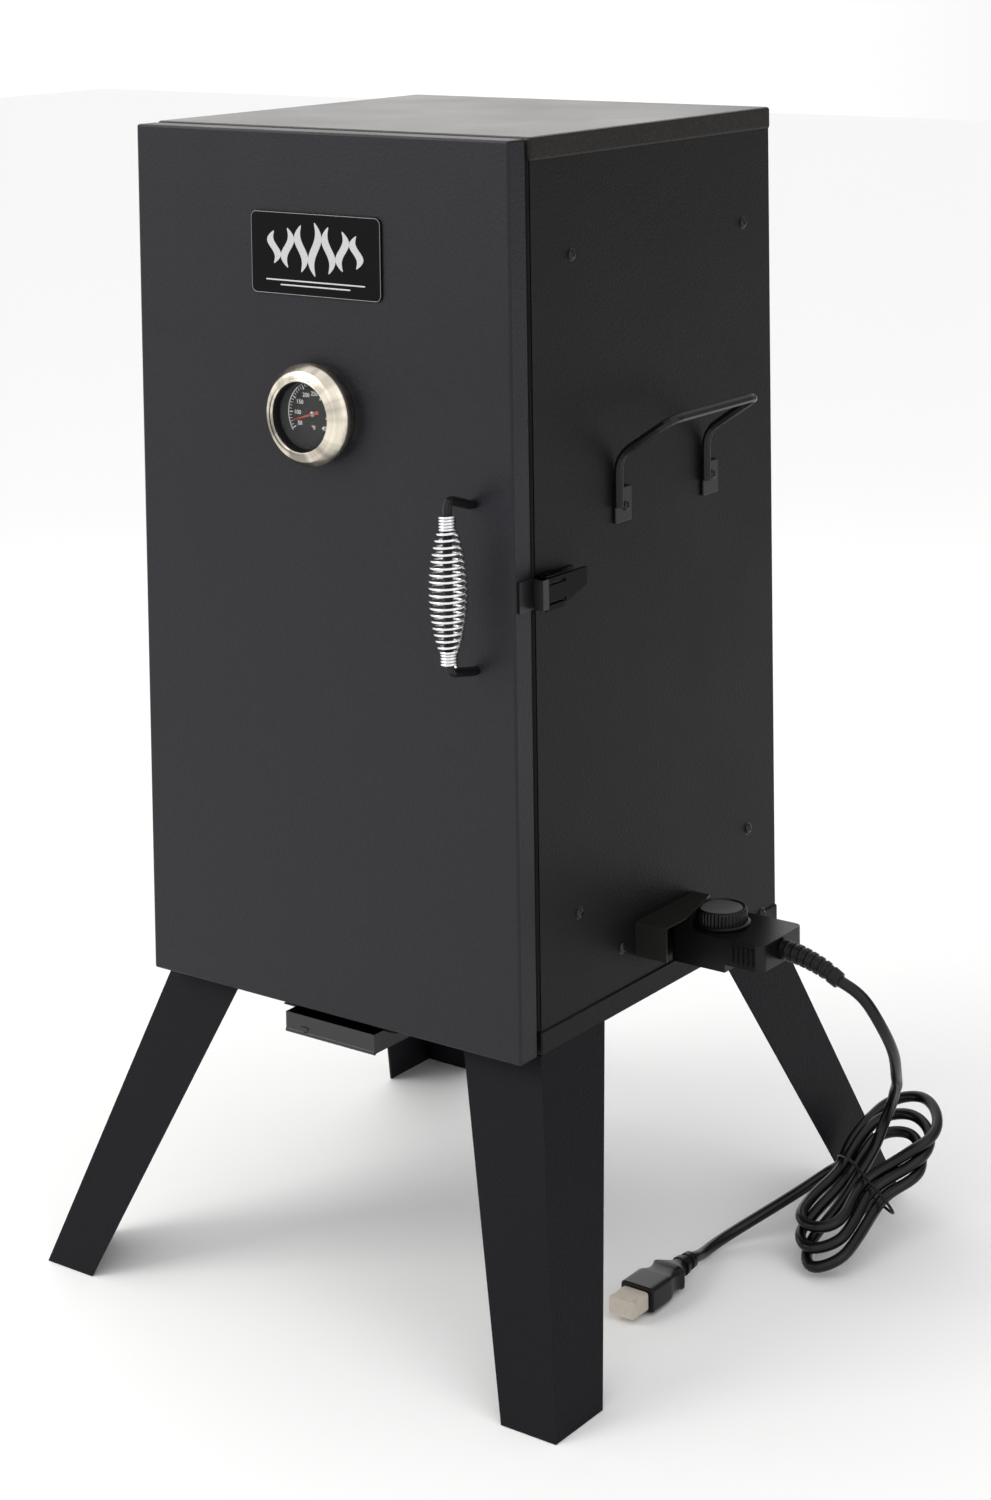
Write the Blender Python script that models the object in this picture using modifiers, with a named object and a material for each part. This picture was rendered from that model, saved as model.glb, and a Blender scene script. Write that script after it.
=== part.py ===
"""Electric cabinet smoker on four splayed legs, made of separately named pieces.

Lengths are in metres. While the pieces are made, x runs to the right from the middle of the cabinet,
y runs back from the front face of the door, and z runs up from the floor. The last step slides
everything sideways, so that the origin lies on the floor under the middle of the whole object.
"""

import math

import bmesh
import bpy
from mathutils import Matrix, Vector

COLLECTION = "Cabinet smoker"
MM = 0.001
GAP = 0.3 * MM
SHEET = 1.2 * MM
WELD = 0.00002

# Cabinet
CABINET_WIDTH = 406 * MM
CABINET_DEPTH = 376 * MM
CABINET_HEIGHT = 762 * MM
LEG_HEIGHT = 266 * MM
SIDE = CABINET_WIDTH / 2
FRONT = 28 * MM
BACK = FRONT + CABINET_DEPTH
FLOOR = LEG_HEIGHT
ROOF = FLOOR + CABINET_HEIGHT
SKIRT = 20 * MM
SKIRT_OUT = SHEET + GAP
WALL_IN = SIDE - SHEET
OPENING_SIDE = 178 * MM
OPENING_LOW = FLOOR + 26 * MM
OPENING_HIGH = ROOF - 26 * MM

# Legs
FOOT_SIDE = 280 * MM
FOOT_OUT = 94 * MM
LEG_TOP_WIDTHS = (81 * MM, 94 * MM)
LEG_FOOT_WIDTHS = (54 * MM, 66 * MM)
LEG_SHEET = 2 * MM

# Inside fittings: how high above the cabinet's bottom each ledge lies
LEDGES = {"water pan": 210 * MM, "lower grid": 340 * MM, "upper grid": 590 * MM}
LEDGE_IN = 184 * MM
WIRES = 12
ELEMENT_RADIUS = 4 * MM

# Door
DOOR_DEPTH = 24 * MM
DOOR_TOP = ROOF - 1 * MM
GAUGE_HEIGHT = FLOOR + 522 * MM
POINTER_ANGLE = 197
HANDLE_X = 163 * MM
HANDLE_OUT = 36 * MM
HANDLE_HIGH = FLOOR + 462 * MM
HANDLE_LOW = FLOOR + 324 * MM
HINGE_X = -(SIDE + 6 * MM)
HINGE_Y = DOOR_DEPTH + 2 * MM
HINGE_HEIGHTS = {"lower": FLOOR + 150 * MM, "upper": FLOOR + 610 * MM}
HINGE_REACH = 22 * MM
GRIP_END = 8.5 * MM
GRIP_MIDDLE = 16.8 * MM
HANDLE_RISES = (6 * MM, 10 * MM)

# Latch, on the right side
LATCH_Z = FLOOR + 388 * MM
LATCH_HALF = 13 * MM
LATCH_PIVOT = (SIDE + 7 * MM, 35 * MM)
BAIL_PIVOT = (SIDE + 10.2 * MM, 51 * MM)
BAIL_WIRE = 1.2 * MM
BAIL_REACH = 8 * MM

# Controller, on the right side near the bottom
CONTROLLER_Z = FLOOR + 39 * MM
CONTROLLER_IN = SIDE + 3 * MM
CONTROLLER_OUT = SIDE + 98 * MM
CONTROLLER_FRONT = 219 * MM
CONTROLLER_BACK = 288 * MM
CONTROLLER_MIDDLE = 253 * MM
KNOB_XY = (240 * MM, 252 * MM)
PIN_SPREAD = 12 * MM
PIN_RADIUS = 3 * MM
PIN_END = SIDE + 20 * MM
PROBE_RADIUS = 3.5 * MM
PROBE_END = 125 * MM

# Drip tray, under the cabinet
TRAY_HALF = 49 * MM
TRAY_DEPTH = 262 * MM
TRAY_LOW = FLOOR - 24 * MM
TRAY_HIGH = FLOOR - 7 * MM

# Cord
CORD = 10 * MM
RELIEF_END = Vector((358 * MM, CONTROLLER_MIDDLE, FLOOR + 26 * MM))
HANK_FOOT = Vector((292 * MM, 298 * MM, 11 * MM))
HANK_TILT = math.radians(24.5)
HANK_TURN = math.radians(80)
HANK_LENGTH = 218 * MM
HANK_WIDTH = 84 * MM
HANK_THICK = 26 * MM
PLUG_NECK = Vector((211 * MM, 240 * MM, 13 * MM))

# Where the middle of the whole object lies, seen from the cabinet's own axes
MIDDLE = Vector(((CONTROLLER_OUT - FOOT_SIDE) / 2, (FRONT - FOOT_OUT + BACK + FOOT_OUT) / 2, 0))

# Finishes: colour, metallic value, roughness
FINISHES = {
    "black_steel": ((0.018, 0.018, 0.02), 0.0, 0.48),
    "inner_steel": ((0.03, 0.03, 0.03), 0.0, 0.6),
    "black_rod": ((0.012, 0.012, 0.013), 0.0, 0.35),
    "chrome_wire": ((0.8, 0.8, 0.82), 1.0, 0.12),
    "brushed_ring": ((0.62, 0.58, 0.53), 1.0, 0.3),
    "name_plate": ((0.01, 0.01, 0.01), 0.0, 0.3),
    "dial_black": ((0.01, 0.01, 0.012), 0.0, 0.5),
    "pointer_red": ((0.6, 0.03, 0.02), 0.0, 0.4),
    "clear_glass": ((0.9, 0.92, 0.92), 0.0, 0.05),
    "black_plastic": ((0.015, 0.015, 0.016), 0.0, 0.4),
    "knob_grey": ((0.12, 0.12, 0.12), 0.0, 0.45),
    "cord_black": ((0.01, 0.01, 0.01), 0.0, 0.3),
    "sleeve_grey": ((0.55, 0.52, 0.47), 0.0, 0.5),
    "plain_steel": ((0.45, 0.45, 0.45), 1.0, 0.35),
    "rope_seal": ((0.2, 0.2, 0.19), 0.0, 0.9),
}


def clear_scene():
    for obj in list(bpy.data.objects):
        bpy.data.objects.remove(obj, do_unlink=True)


def new_object(name, data):
    obj = bpy.data.objects.new(name, data)
    bpy.data.collections[COLLECTION].objects.link(obj)
    return obj


def from_bmesh(name, shape):
    mesh = bpy.data.meshes.new(name)
    shape.to_mesh(mesh)
    shape.free()
    return new_object(name, mesh)


def evaluated_mesh(obj):
    """Swaps a curve, or an object with modifiers, for the plain closed mesh it makes."""
    graph = bpy.context.evaluated_depsgraph_get()
    mesh = bpy.data.meshes.new_from_object(obj.evaluated_get(graph))
    mesh.transform(obj.matrix_world)
    name = obj.name
    bpy.data.objects.remove(obj, do_unlink=True)
    shape = bmesh.new()
    shape.from_mesh(mesh)
    bmesh.ops.remove_doubles(shape, verts=shape.verts, dist=WELD)
    bmesh.ops.recalc_face_normals(shape, faces=shape.faces)
    bpy.data.meshes.remove(mesh)
    return from_bmesh(name, shape)


def moved(obj, matrix):
    """Moves the shape itself and leaves the object's origin where it is."""
    obj.data.transform(matrix)
    return obj


def mirrored(obj, name):
    """A copy of the object on the other side of the cabinet's middle plane."""
    twin = moved(new_object(name, obj.data.copy()), Matrix.Scale(-1, 4, (1, 0, 0)))
    twin.data.flip_normals()
    return twin


def box(name, low, high):
    low = Vector(low)
    high = Vector(high)
    size = Matrix.Diagonal((*(high - low), 1))
    shape = bmesh.new()
    bmesh.ops.create_cube(shape, size=1, matrix=Matrix.Translation((low + high) / 2) @ size)
    return from_bmesh(name, shape)


def rod(name, start, end, radius, sides=20, end_radius=None):
    """A straight bar, or a cone when the end has its own radius."""
    start = Vector(start)
    along = Vector(end) - start
    turn = along.to_track_quat("Z", "Y").to_matrix().to_4x4()
    shape = bmesh.new()
    bmesh.ops.create_cone(
        shape,
        cap_ends=True,
        segments=sides,
        radius1=radius,
        radius2=radius if end_radius is None else end_radius,
        depth=along.length,
        matrix=Matrix.Translation(start + along / 2) @ turn,
    )
    return from_bmesh(name, shape)


def tube(name, points, radius, detail=2, ring=False):
    """A round bar along a line of points, with closed ends or joined up into a ring."""
    curve = bpy.data.curves.new(name, "CURVE")
    curve.dimensions = "3D"
    curve.bevel_depth = radius
    curve.bevel_resolution = detail
    curve.use_fill_caps = True
    spline = curve.splines.new("POLY")
    spline.points.add(len(points) - 1)
    spline.use_cyclic_u = ring
    for place, point in zip(spline.points, points):
        place.co = (*point, 1)
    return evaluated_mesh(new_object(name, curve))


def plate(name, outlines, thickness, matrix):
    """A flat plate of the given thickness. Outlines after the first are holes."""
    curve = bpy.data.curves.new(name, "CURVE")
    curve.dimensions = "2D"
    curve.fill_mode = "BOTH"
    curve.extrude = thickness / 2
    for outline in outlines:
        spline = curve.splines.new("POLY")
        spline.points.add(len(outline) - 1)
        spline.use_cyclic_u = True
        for place, (x, y) in zip(spline.points, outline):
            place.co = (x, y, 0, 1)
    return moved(evaluated_mesh(new_object(name, curve)), matrix)


def turned(name, profile, matrix, sides=28):
    """A turned shape. The profile is a closed line of (radius, height) points, turned about local Z."""
    shape = bmesh.new()
    corners = [shape.verts.new((radius, 0, height)) for radius, height in profile]
    for first, second in zip(corners, corners[1:] + corners[:1]):
        if first.co.x > 0 or second.co.x > 0:
            shape.edges.new((first, second))
    obj = from_bmesh(name, shape)
    screw = obj.modifiers.new("Turn", "SCREW")
    screw.axis = "Z"
    screw.steps = sides
    screw.render_steps = sides
    screw.use_merge_vertices = True
    screw.merge_threshold = WELD
    return moved(evaluated_mesh(obj), matrix)


def combined(obj, others, operation):
    """Applies a Boolean with each of the other solids, which are used up."""
    for other in others:
        boolean = obj.modifiers.new("Combine", "BOOLEAN")
        boolean.operation = operation
        boolean.solver = "EXACT"
        boolean.object = other
        obj = evaluated_mesh(obj)
        bpy.data.objects.remove(other, do_unlink=True)
    return obj


def joined(obj, *others):
    return combined(obj, others, "UNION")


def cut(obj, *others):
    return combined(obj, others, "DIFFERENCE")


def softened(obj, width, segments=2):
    """Rounds the edges where faces meet at more than 35 degrees."""
    bevel = obj.modifiers.new("Soften", "BEVEL")
    bevel.width = width
    bevel.segments = segments
    bevel.limit_method = "ANGLE"
    bevel.angle_limit = math.radians(35)
    return evaluated_mesh(obj)


def facing(centre, axis, across=(0, 0, 1)):
    """The matrix whose local Z points along the axis and whose local Y lies along the other direction."""
    z = Vector(axis).normalized()
    y = Vector(across).normalized()
    x = y.cross(z).normalized()
    matrix = Matrix((x, z.cross(x), z)).transposed().to_4x4()
    matrix.translation = Vector(centre)
    return matrix


def rounded_outline(width, height, radius, steps=4):
    """The outline of a rounded rectangle about the origin, as (x, y) points."""
    points = []
    for quarter, (side, up) in enumerate(((1, 1), (-1, 1), (-1, -1), (1, -1))):
        for step in range(steps + 1):
            angle = math.radians(90) * (quarter + step / steps)
            x = side * (width / 2 - radius) + radius * math.cos(angle)
            y = up * (height / 2 - radius) + radius * math.sin(angle)
            points.append((x, y))
    return points


def bent_line(corners, radius, steps=5):
    """A line through the corners, with each inner corner replaced by an arc-like bend."""
    corners = [Vector(corner) for corner in corners]
    points = [corners[0]]
    for before, corner, after in zip(corners, corners[1:], corners[2:]):
        back = before - corner
        onward = after - corner
        reach = min(radius, 0.45 * back.length, 0.45 * onward.length)
        start = corner + back.normalized() * reach
        end = corner + onward.normalized() * reach
        for step in range(steps + 1):
            t = step / steps
            points.append(start * (1 - t) ** 2 + corner * 2 * t * (1 - t) + end * t**2)
    points.append(corners[-1])
    return points


def smooth_line(stops, spacing):
    """Points at about equal steps along a smooth curve through the stops."""
    stops = [Vector(stop) for stop in stops]
    padded = [2 * stops[0] - stops[1], *stops, 2 * stops[-1] - stops[-2]]
    points = [stops[0]]
    for a, b, c, d in zip(padded, padded[1:], padded[2:], padded[3:]):
        steps = max(1, round((c - b).length / spacing))
        for step in range(1, steps + 1):
            t = step / steps
            bend = (2 * a - 5 * b + 4 * c - d) * t**2 + (3 * b - a - 3 * c + d) * t**3
            points.append(b + ((c - a) * t + bend) / 2)
    return points


def hinged(obj, point):
    """Puts the object's origin on its joint's axis without moving its shape."""
    point = Vector(point)
    obj.data.transform(Matrix.Translation(-point))
    obj.location = point
    return obj


def carried(name, point, starts):
    """An empty on a joint's axis, which carries the pieces whose names begin with one of these words."""
    pieces = bpy.data.collections[COLLECTION]
    carrier = bpy.data.objects.new(name, None)
    carrier.location = point
    for obj in list(pieces.objects):
        if obj.name.startswith(starts):
            obj.parent = carrier
            obj.matrix_parent_inverse = Matrix.Translation(-Vector(point))
    pieces.objects.link(carrier)


def make_cabinet():
    outer = SIDE + SKIRT_OUT
    inner = SIDE + GAP
    back = BACK + SKIRT_OUT

    lid = softened(box("top_lid", (-outer, FRONT, ROOF - SKIRT), (outer, back, ROOF)), 2.5 * MM)
    cut(lid, box("lid_room", (-inner, FRONT + SHEET, 0), (inner, BACK + GAP, ROOF - SHEET)))

    pan = box("bottom_pan", (-outer, FRONT, FLOOR), (outer, back, FLOOR + SKIRT))
    pan = softened(pan, 1 * MM, 1)
    room = box("pan_room", (-inner, FRONT + SHEET, FLOOR + SHEET), (inner, BACK + GAP, ROOF))
    drain = rod("drain", (0, 190 * MM, 0), (0, 190 * MM, ROOF), 9 * MM)
    cut(pan, room, drain)

    low = FLOOR + SHEET + GAP
    high = ROOF - SHEET - GAP
    start = FRONT + SHEET + GAP
    left = box("side_panel_left", (-SIDE, start, low), (-WALL_IN, BACK, high))
    right = mirrored(left, "side_panel_right")
    socket_low = (0, CONTROLLER_MIDDLE - 22 * MM, CONTROLLER_Z - 11 * MM)
    socket_high = (BACK, CONTROLLER_MIDDLE + 22 * MM, CONTROLLER_Z + 11 * MM)
    cut(right, box("socket_opening", socket_low, socket_high))

    inside = WALL_IN - GAP
    box("back_panel", (-inside, BACK - SHEET, low), (inside, BACK, high))
    frame = box("front_frame", (-inside, start, low), (inside, start + SHEET, high))
    lip = OPENING_SIDE + SHEET
    frame = joined(
        frame,
        box(
            "opening_lip",
            (-lip, start, OPENING_LOW - SHEET),
            (lip, start + 10 * MM, OPENING_HIGH + SHEET),
        ),
    )
    cut(frame, box("opening", (-OPENING_SIDE, 0, OPENING_LOW), (OPENING_SIDE, BACK, OPENING_HIGH)))


def leg_section(side, end, height):
    """Six corners of the leg's L-shaped cross-section at a height."""
    down = 1 - height / LEG_HEIGHT
    corner_x = side * (SIDE + (FOOT_SIDE - SIDE) * down)
    corner_y = (FRONT if end < 0 else BACK) + end * FOOT_OUT * down
    wide = [top + (foot - top) * down for top, foot in zip(LEG_TOP_WIDTHS, LEG_FOOT_WIDTHS)]
    steps = (
        (0, 0),
        (wide[0], 0),
        (wide[0], LEG_SHEET),
        (LEG_SHEET, LEG_SHEET),
        (LEG_SHEET, wide[1]),
        (0, wide[1]),
    )
    return [(corner_x - side * x, corner_y - end * y, height) for x, y in steps]


def make_leg(name, side, end):
    """A splayed, tapering angle of folded sheet, with a pad at the top that bolts under the cabinet."""
    top = LEG_HEIGHT - GAP
    shape = bmesh.new()
    low = [shape.verts.new(corner) for corner in leg_section(side, end, 0)]
    high = [shape.verts.new(corner) for corner in leg_section(side, end, top)]
    shape.faces.new(low)
    shape.faces.new(high)
    for index in range(len(low)):
        after = (index + 1) % len(low)
        shape.faces.new((low[index], low[after], high[after], high[index]))
    bmesh.ops.recalc_face_normals(shape, faces=shape.faces)
    leg = from_bmesh(name, shape)

    inset = 1 * MM
    near = Vector((side * (SIDE - inset), (FRONT if end < 0 else BACK) - end * inset, top - LEG_SHEET))
    far_x = side * (SIDE - LEG_TOP_WIDTHS[0] + inset)
    far_y = near.y - end * (LEG_TOP_WIDTHS[1] - 2 * inset)
    low_corner = (min(near.x, far_x), min(near.y, far_y), near.z)
    high_corner = (max(near.x, far_x), max(near.y, far_y), top)
    joined(leg, box("leg_pad", low_corner, high_corner))


def make_carry_handle(side, name):
    """A bent bar that stands out and up from the side wall, with a flat screw tab at each foot."""
    radius = 4 * MM
    wall = SIDE + GAP
    foot = (wall + radius, FLOOR + 438 * MM)
    knee = (wall + radius, FLOOR + 482 * MM)
    grip = (SIDE + 58 * MM, FLOOR + 518 * MM)
    front = 147 * MM
    back = 286 * MM
    corners = [
        (foot[0], front, foot[1]),
        (knee[0], front, knee[1]),
        (grip[0], front, grip[1]),
        (grip[0], back, grip[1]),
        (knee[0], back, knee[1]),
        (foot[0], back, foot[1]),
    ]
    handle = tube(name, bent_line(corners, 14 * MM, 4), radius)
    tabs = []
    for y in (front, back):
        low = (wall, y - 3 * MM, FLOOR + 424 * MM)
        high = (wall + 2.5 * MM, y + 22 * MM, FLOOR + 454 * MM)
        tabs.append(softened(box("screw_tab", low, high), 0.8 * MM))
    handle = joined(handle, *tabs)
    if side < 0:
        moved(handle, Matrix.Scale(-1, 4, Vector((1, 0, 0))))
        handle.data.flip_normals()


def make_rack_support(name):
    """Two upright strips joined by ledges that carry the grids and the water pan."""
    outer = WALL_IN - GAP
    thick = 1.5 * MM
    strips = []
    for y in (80 * MM, 351 * MM):
        low = (-outer, y, FLOOR + 95 * MM)
        strips.append(box("strip", low, (-outer + thick, y + 14 * MM, FLOOR + 690 * MM)))
    for rise in LEDGES.values():
        top = FLOOR + rise
        strips.append(box("ledge", (-outer, 62 * MM, top - thick), (-LEDGE_IN, 384 * MM, top)))
    support = joined(*strips)
    support.name = name
    return support


def make_grid(name, ledge):
    """A wire cooking grid: a rectangular rim, two cross bars and a row of wires."""
    rim = 2.5 * MM
    wire = 1.6 * MM
    half = 190 * MM
    front = 68 * MM
    back = 378 * MM
    height = FLOOR + ledge + GAP + rim
    outline = []
    for x, y in rounded_outline(2 * half, back - front, 14 * MM, 2):
        outline.append(Vector((x, y + (front + back) / 2, height)))
    grid = tube(name, outline, rim, 1, ring=True)
    bars = []
    for y in (front + 105 * MM, back - 105 * MM):
        bars.append(rod("cross_bar", (-half, y, height), (half, y, height), 2 * MM, 6))
    for number in range(1, WIRES + 1):
        x = -half + number * 2 * half / (WIRES + 1)
        bars.append(rod("wire", (x, front, height), (x, back, height), wire, 6))
    joined(grid, *bars)


def make_open_pan(name, low, high, rim, thick):
    """A folded pan with a flat rim around its open top."""
    low = Vector(low)
    high = Vector(high)
    out = Vector((rim, rim, 0))
    pan = softened(box(name, low, high), 4 * MM)
    pan = joined(pan, box("pan_rim", (*(low - out).xy, high.z - thick), (*(high + out).xy, high.z)))
    wall = Vector((thick, thick, thick))
    room = box("pan_room", low + wall, high + Vector((-thick, -thick, 10 * MM)))
    return cut(pan, softened(room, 3 * MM))


def make_cooking_fittings():
    left = make_rack_support("rack_support_left")
    mirrored(left, "rack_support_right")
    make_grid("cooking_grid_lower", LEDGES["lower grid"])
    make_grid("cooking_grid_upper", LEDGES["upper grid"])

    thick = 1.2 * MM
    top = FLOOR + LEDGES["water pan"] + GAP + thick
    make_open_pan(
        "water_pan",
        (-165 * MM, 110 * MM, top - 48 * MM),
        (165 * MM, 340 * MM, top),
        24 * MM,
        thick,
    )
    tray_low = CONTROLLER_Z + ELEMENT_RADIUS + GAP
    make_open_pan(
        "wood_chip_tray",
        (-90 * MM, 175 * MM, tray_low),
        (80 * MM, 330 * MM, tray_low + 36 * MM),
        8 * MM,
        thick,
    )


def make_element():
    """The heating loop, the block its ends come out of and the foot under its far end."""
    z = CONTROLLER_Z
    start = 165 * MM
    spread = PIN_SPREAD
    y = CONTROLLER_MIDDLE
    corners = [
        (start, y - spread, z),
        (110 * MM, y - spread, z),
        (80 * MM, y - 62 * MM, z),
        (-90 * MM, y - 62 * MM, z),
        (-130 * MM, y - 25 * MM, z),
        (-130 * MM, y + 25 * MM, z),
        (-90 * MM, y + 62 * MM, z),
        (80 * MM, y + 62 * MM, z),
        (110 * MM, y + spread, z),
        (start, y + spread, z),
    ]
    tube("heating_element", bent_line(corners, 30 * MM, 3), ELEMENT_RADIUS)

    block_start = start + GAP
    block_end = WALL_IN - GAP
    low = (block_start, y - 20 * MM, z - 14 * MM)
    block = softened(box("terminal_block", low, (block_end, y + 20 * MM, z + 14 * MM)), 1.5 * MM)
    for side in (-1, 1):
        pin_y = y + side * PIN_SPREAD
        block = joined(block, rod("pin", (block_end - 5 * MM, pin_y, z), (PIN_END, pin_y, z), PIN_RADIUS, 16))
    cut(block, rod("probe_way", (0, y, z), (FOOT_SIDE, y, z), PROBE_RADIUS + 1 * MM))

    foot_low = FLOOR + SHEET + GAP
    pad = z - ELEMENT_RADIUS - GAP
    thick = 1.5 * MM
    foot = box("element_foot", (-150 * MM, y - 12 * MM, foot_low), (-118 * MM, y + 12 * MM, foot_low + thick))
    web = box("web", (-119.5 * MM, y - 12 * MM, foot_low), (-118 * MM, y + 12 * MM, pad))
    top = box("pad", (-137 * MM, y - 12 * MM, pad - thick), (-118 * MM, y + 12 * MM, pad))
    joined(foot, web, top)


def make_drip_tray():
    """A shallow drawer with side flanges that slide in two channels under the cabinet."""
    wall = 1 * MM
    flange_top = FLOOR - 7.2 * MM
    low = Vector((-TRAY_HALF, 0, TRAY_LOW))
    high = Vector((TRAY_HALF, TRAY_DEPTH, TRAY_HIGH))
    tray = box("drip_tray", low, high)
    flange_half = TRAY_HALF + 14 * MM
    flange = box(
        "flange",
        (-flange_half, 14 * MM, flange_top - wall),
        (flange_half, TRAY_DEPTH, flange_top),
    )
    tray = joined(tray, flange)
    corner = Vector((wall, wall, wall))
    tray = cut(tray, box("tray_room", low + corner, high + Vector((-wall, -wall, 10 * MM))))
    fold = 1 * MM
    hem_start = (-TRAY_HALF, fold, TRAY_LOW + fold)
    tray = joined(tray, rod("hem", hem_start, (TRAY_HALF, fold, TRAY_LOW + fold), 2 * fold, 12))
    mark_x = -28 * MM
    mark_z = FLOOR - 17 * MM
    thumb = rod("thumb_mark", (mark_x, -1 * MM, mark_z), (mark_x, 0.5 * MM, mark_z), 4 * MM, 16)
    thumb = cut(thumb, box("upper_half", (-TRAY_HALF, -0.01, mark_z), (TRAY_HALF, 0.01, FLOOR)))
    hinged(joined(tray, thumb), (0, 0, TRAY_HIGH))

    inner = TRAY_HALF + GAP + 0.5 * MM
    outer = flange_half + GAP + SHEET
    top = FLOOR - GAP
    lip_top = flange_top - wall - GAP
    rail_low = (inner, 60 * MM, lip_top - SHEET)
    rail = box("tray_rail_right", rail_low, (outer, TRAY_DEPTH + 10 * MM, top))
    channel = box(
        "channel",
        (0, -0.01, lip_top),
        (flange_half + GAP, TRAY_DEPTH + 8 * MM, top - SHEET),
    )
    mirrored(cut(rail, channel), "tray_rail_left")


def make_door():
    back = DOOR_DEPTH
    sheet = SHEET
    skin = softened(box("door_skin", (-SIDE, 0, FLOOR), (SIDE, back, DOOR_TOP)), 2 * MM)
    inner = SIDE - sheet
    room = box("door_room", (-inner, sheet, FLOOR + sheet), (inner, 1, DOOR_TOP - sheet))
    stem_way = rod("stem_way", (0, -0.01, GAUGE_HEIGHT), (0, 0.05, GAUGE_HEIGHT), 5 * MM, 16)
    skin = cut(skin, room, stem_way)
    for height in (HANDLE_LOW, HANDLE_HIGH):
        hole = rod("bolt_hole", (HANDLE_X, -0.01, height), (HANDLE_X, 0.01, height), 2.7 * MM, 16)
        skin = cut(skin, hole)

    gap = inner - GAP
    low = (-gap, back - sheet, FLOOR + sheet + GAP)
    liner = box("door_liner", low, (gap, back, DOOR_TOP - sheet - GAP))
    stem_way = rod("stem_way", (0, 0, GAUGE_HEIGHT), (0, 0.05, GAUGE_HEIGHT), 5 * MM, 16)
    cut(liner, stem_way)

    radius = (FRONT + SHEET - back - GAP) / 2
    height = DOOR_TOP - FLOOR - 58 * MM
    middle = (FLOOR + DOOR_TOP) / 2
    outline = []
    for x, z in rounded_outline(2 * (OPENING_SIDE + 10 * MM), height, 12 * MM, 3):
        outline.append(Vector((x, back + GAP + radius, z + middle)))
    tube("door_gasket", outline, radius, 1, ring=True)


def make_door_handle():
    """A bar bent into a wide U, bolted through the skin, with a barrel-shaped spring around it."""
    radius = 4 * MM
    bolt = 2.4 * MM
    corners = [
        (HANDLE_X, -GAP, HANDLE_HIGH),
        (HANDLE_X, -radius, HANDLE_HIGH),
        (HANDLE_X, -HANDLE_OUT, HANDLE_HIGH + HANDLE_RISES[1]),
        (HANDLE_X, -HANDLE_OUT, HANDLE_LOW + HANDLE_RISES[0]),
        (HANDLE_X, -radius, HANDLE_LOW),
        (HANDLE_X, -GAP, HANDLE_LOW),
    ]
    bar = tube("door_handle_bar", bent_line(corners, 9 * MM, 4), radius)
    for height in (HANDLE_LOW, HANDLE_HIGH):
        end = (HANDLE_X, 9 * MM, height)
        bar = joined(bar, rod("bolt", (HANDLE_X, -4 * MM, height), end, bolt, 16))
    for name, height in (("handle_nut_lower", HANDLE_LOW), ("handle_nut_upper", HANDLE_HIGH)):
        start = (HANDLE_X, SHEET + GAP, height)
        nut = rod(name, start, (HANDLE_X, SHEET + GAP + 4 * MM, height), 5 * MM, 6)
        cut(nut, rod("nut_bore", (HANDLE_X, 0, height), (HANDLE_X, 0.02, height), bolt + GAP, 16))

    turns = 19
    steps = 10
    wire = 1.6 * MM
    low = FLOOR + 336 * MM
    high = FLOOR + 458 * MM
    points = []
    for step in range(turns * steps + 1):
        share = step / (turns * steps)
        turn = math.radians(360) * step / steps
        swell = math.sin(math.radians(180) * share) ** 0.8
        reach = GRIP_END + (GRIP_MIDDLE - GRIP_END) * swell - wire
        x = HANDLE_X + reach * math.cos(turn)
        y = -HANDLE_OUT + reach * math.sin(turn)
        points.append((x, y, low + (high - low) * share))
    tube("door_handle_grip", points, wire, 1)


def make_name_plate():
    outline = rounded_outline(142 * MM, 71 * MM, 6 * MM, 3)
    middle = (1 * MM, -GAP - 0.8 * MM, FLOOR + 656.5 * MM)
    plate("name_plate", [outline], 1.6 * MM, facing(middle, (0, -1, 0)))


def make_gauge():
    """A dial thermometer: a stepped ring, a dial, a pointer, a lens and the stem behind the door."""
    out = facing((0, 0, GAUGE_HEIGHT), (0, -1, 0))
    bore = 29.5 * MM
    ring = [
        (bore, 25.5 * MM),
        (bore + 1 * MM, 26 * MM),
        (38.5 * MM, 22.5 * MM),
        (44 * MM, 15 * MM),
        (44.5 * MM, 11 * MM),
        (44 * MM, 8.5 * MM),
        (42 * MM, 7 * MM),
        (40 * MM, 6.5 * MM),
        (40 * MM, GAP),
        (bore, GAP),
    ]
    turned("gauge_ring", ring[::-1], out, 32)
    face = bore - GAP
    turned("gauge_dial", [(0, 6.5 * MM), (face, 6.5 * MM), (face, 4.5 * MM), (0, 4.5 * MM)], out, 32)
    turned("gauge_lens", [(0, 17.4 * MM), (face, 17.2 * MM), (face, 16.4 * MM), (0, 16.4 * MM)], out, 32)
    stem = [
        (0, 4.2 * MM),
        (8 * MM, 4.2 * MM),
        (8 * MM, 1 * MM),
        (4 * MM, 1 * MM),
        (4 * MM, -52 * MM),
        (2.5 * MM, -54 * MM),
        (0, -54 * MM),
    ]
    turned("gauge_stem", stem, out, 20)

    level = 8.2 * MM
    hand = [(-6 * MM, -1.2 * MM), (22 * MM, -0.4 * MM), (22 * MM, 0.4 * MM), (-6 * MM, 1.2 * MM)]
    at_rest = Matrix.Rotation(math.radians(POINTER_ANGLE), 4, "Z")
    hand = plate("gauge_pointer", [hand], 0.6 * MM, out @ Matrix.Translation((0, 0, level)) @ at_rest)
    hub = turned("hub", [(0, 9.2 * MM), (3 * MM, 9 * MM), (3 * MM, 7.2 * MM), (0, 7.2 * MM)], out, 16)
    hinged(joined(hand, hub), (0, 0, GAUGE_HEIGHT))


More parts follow.
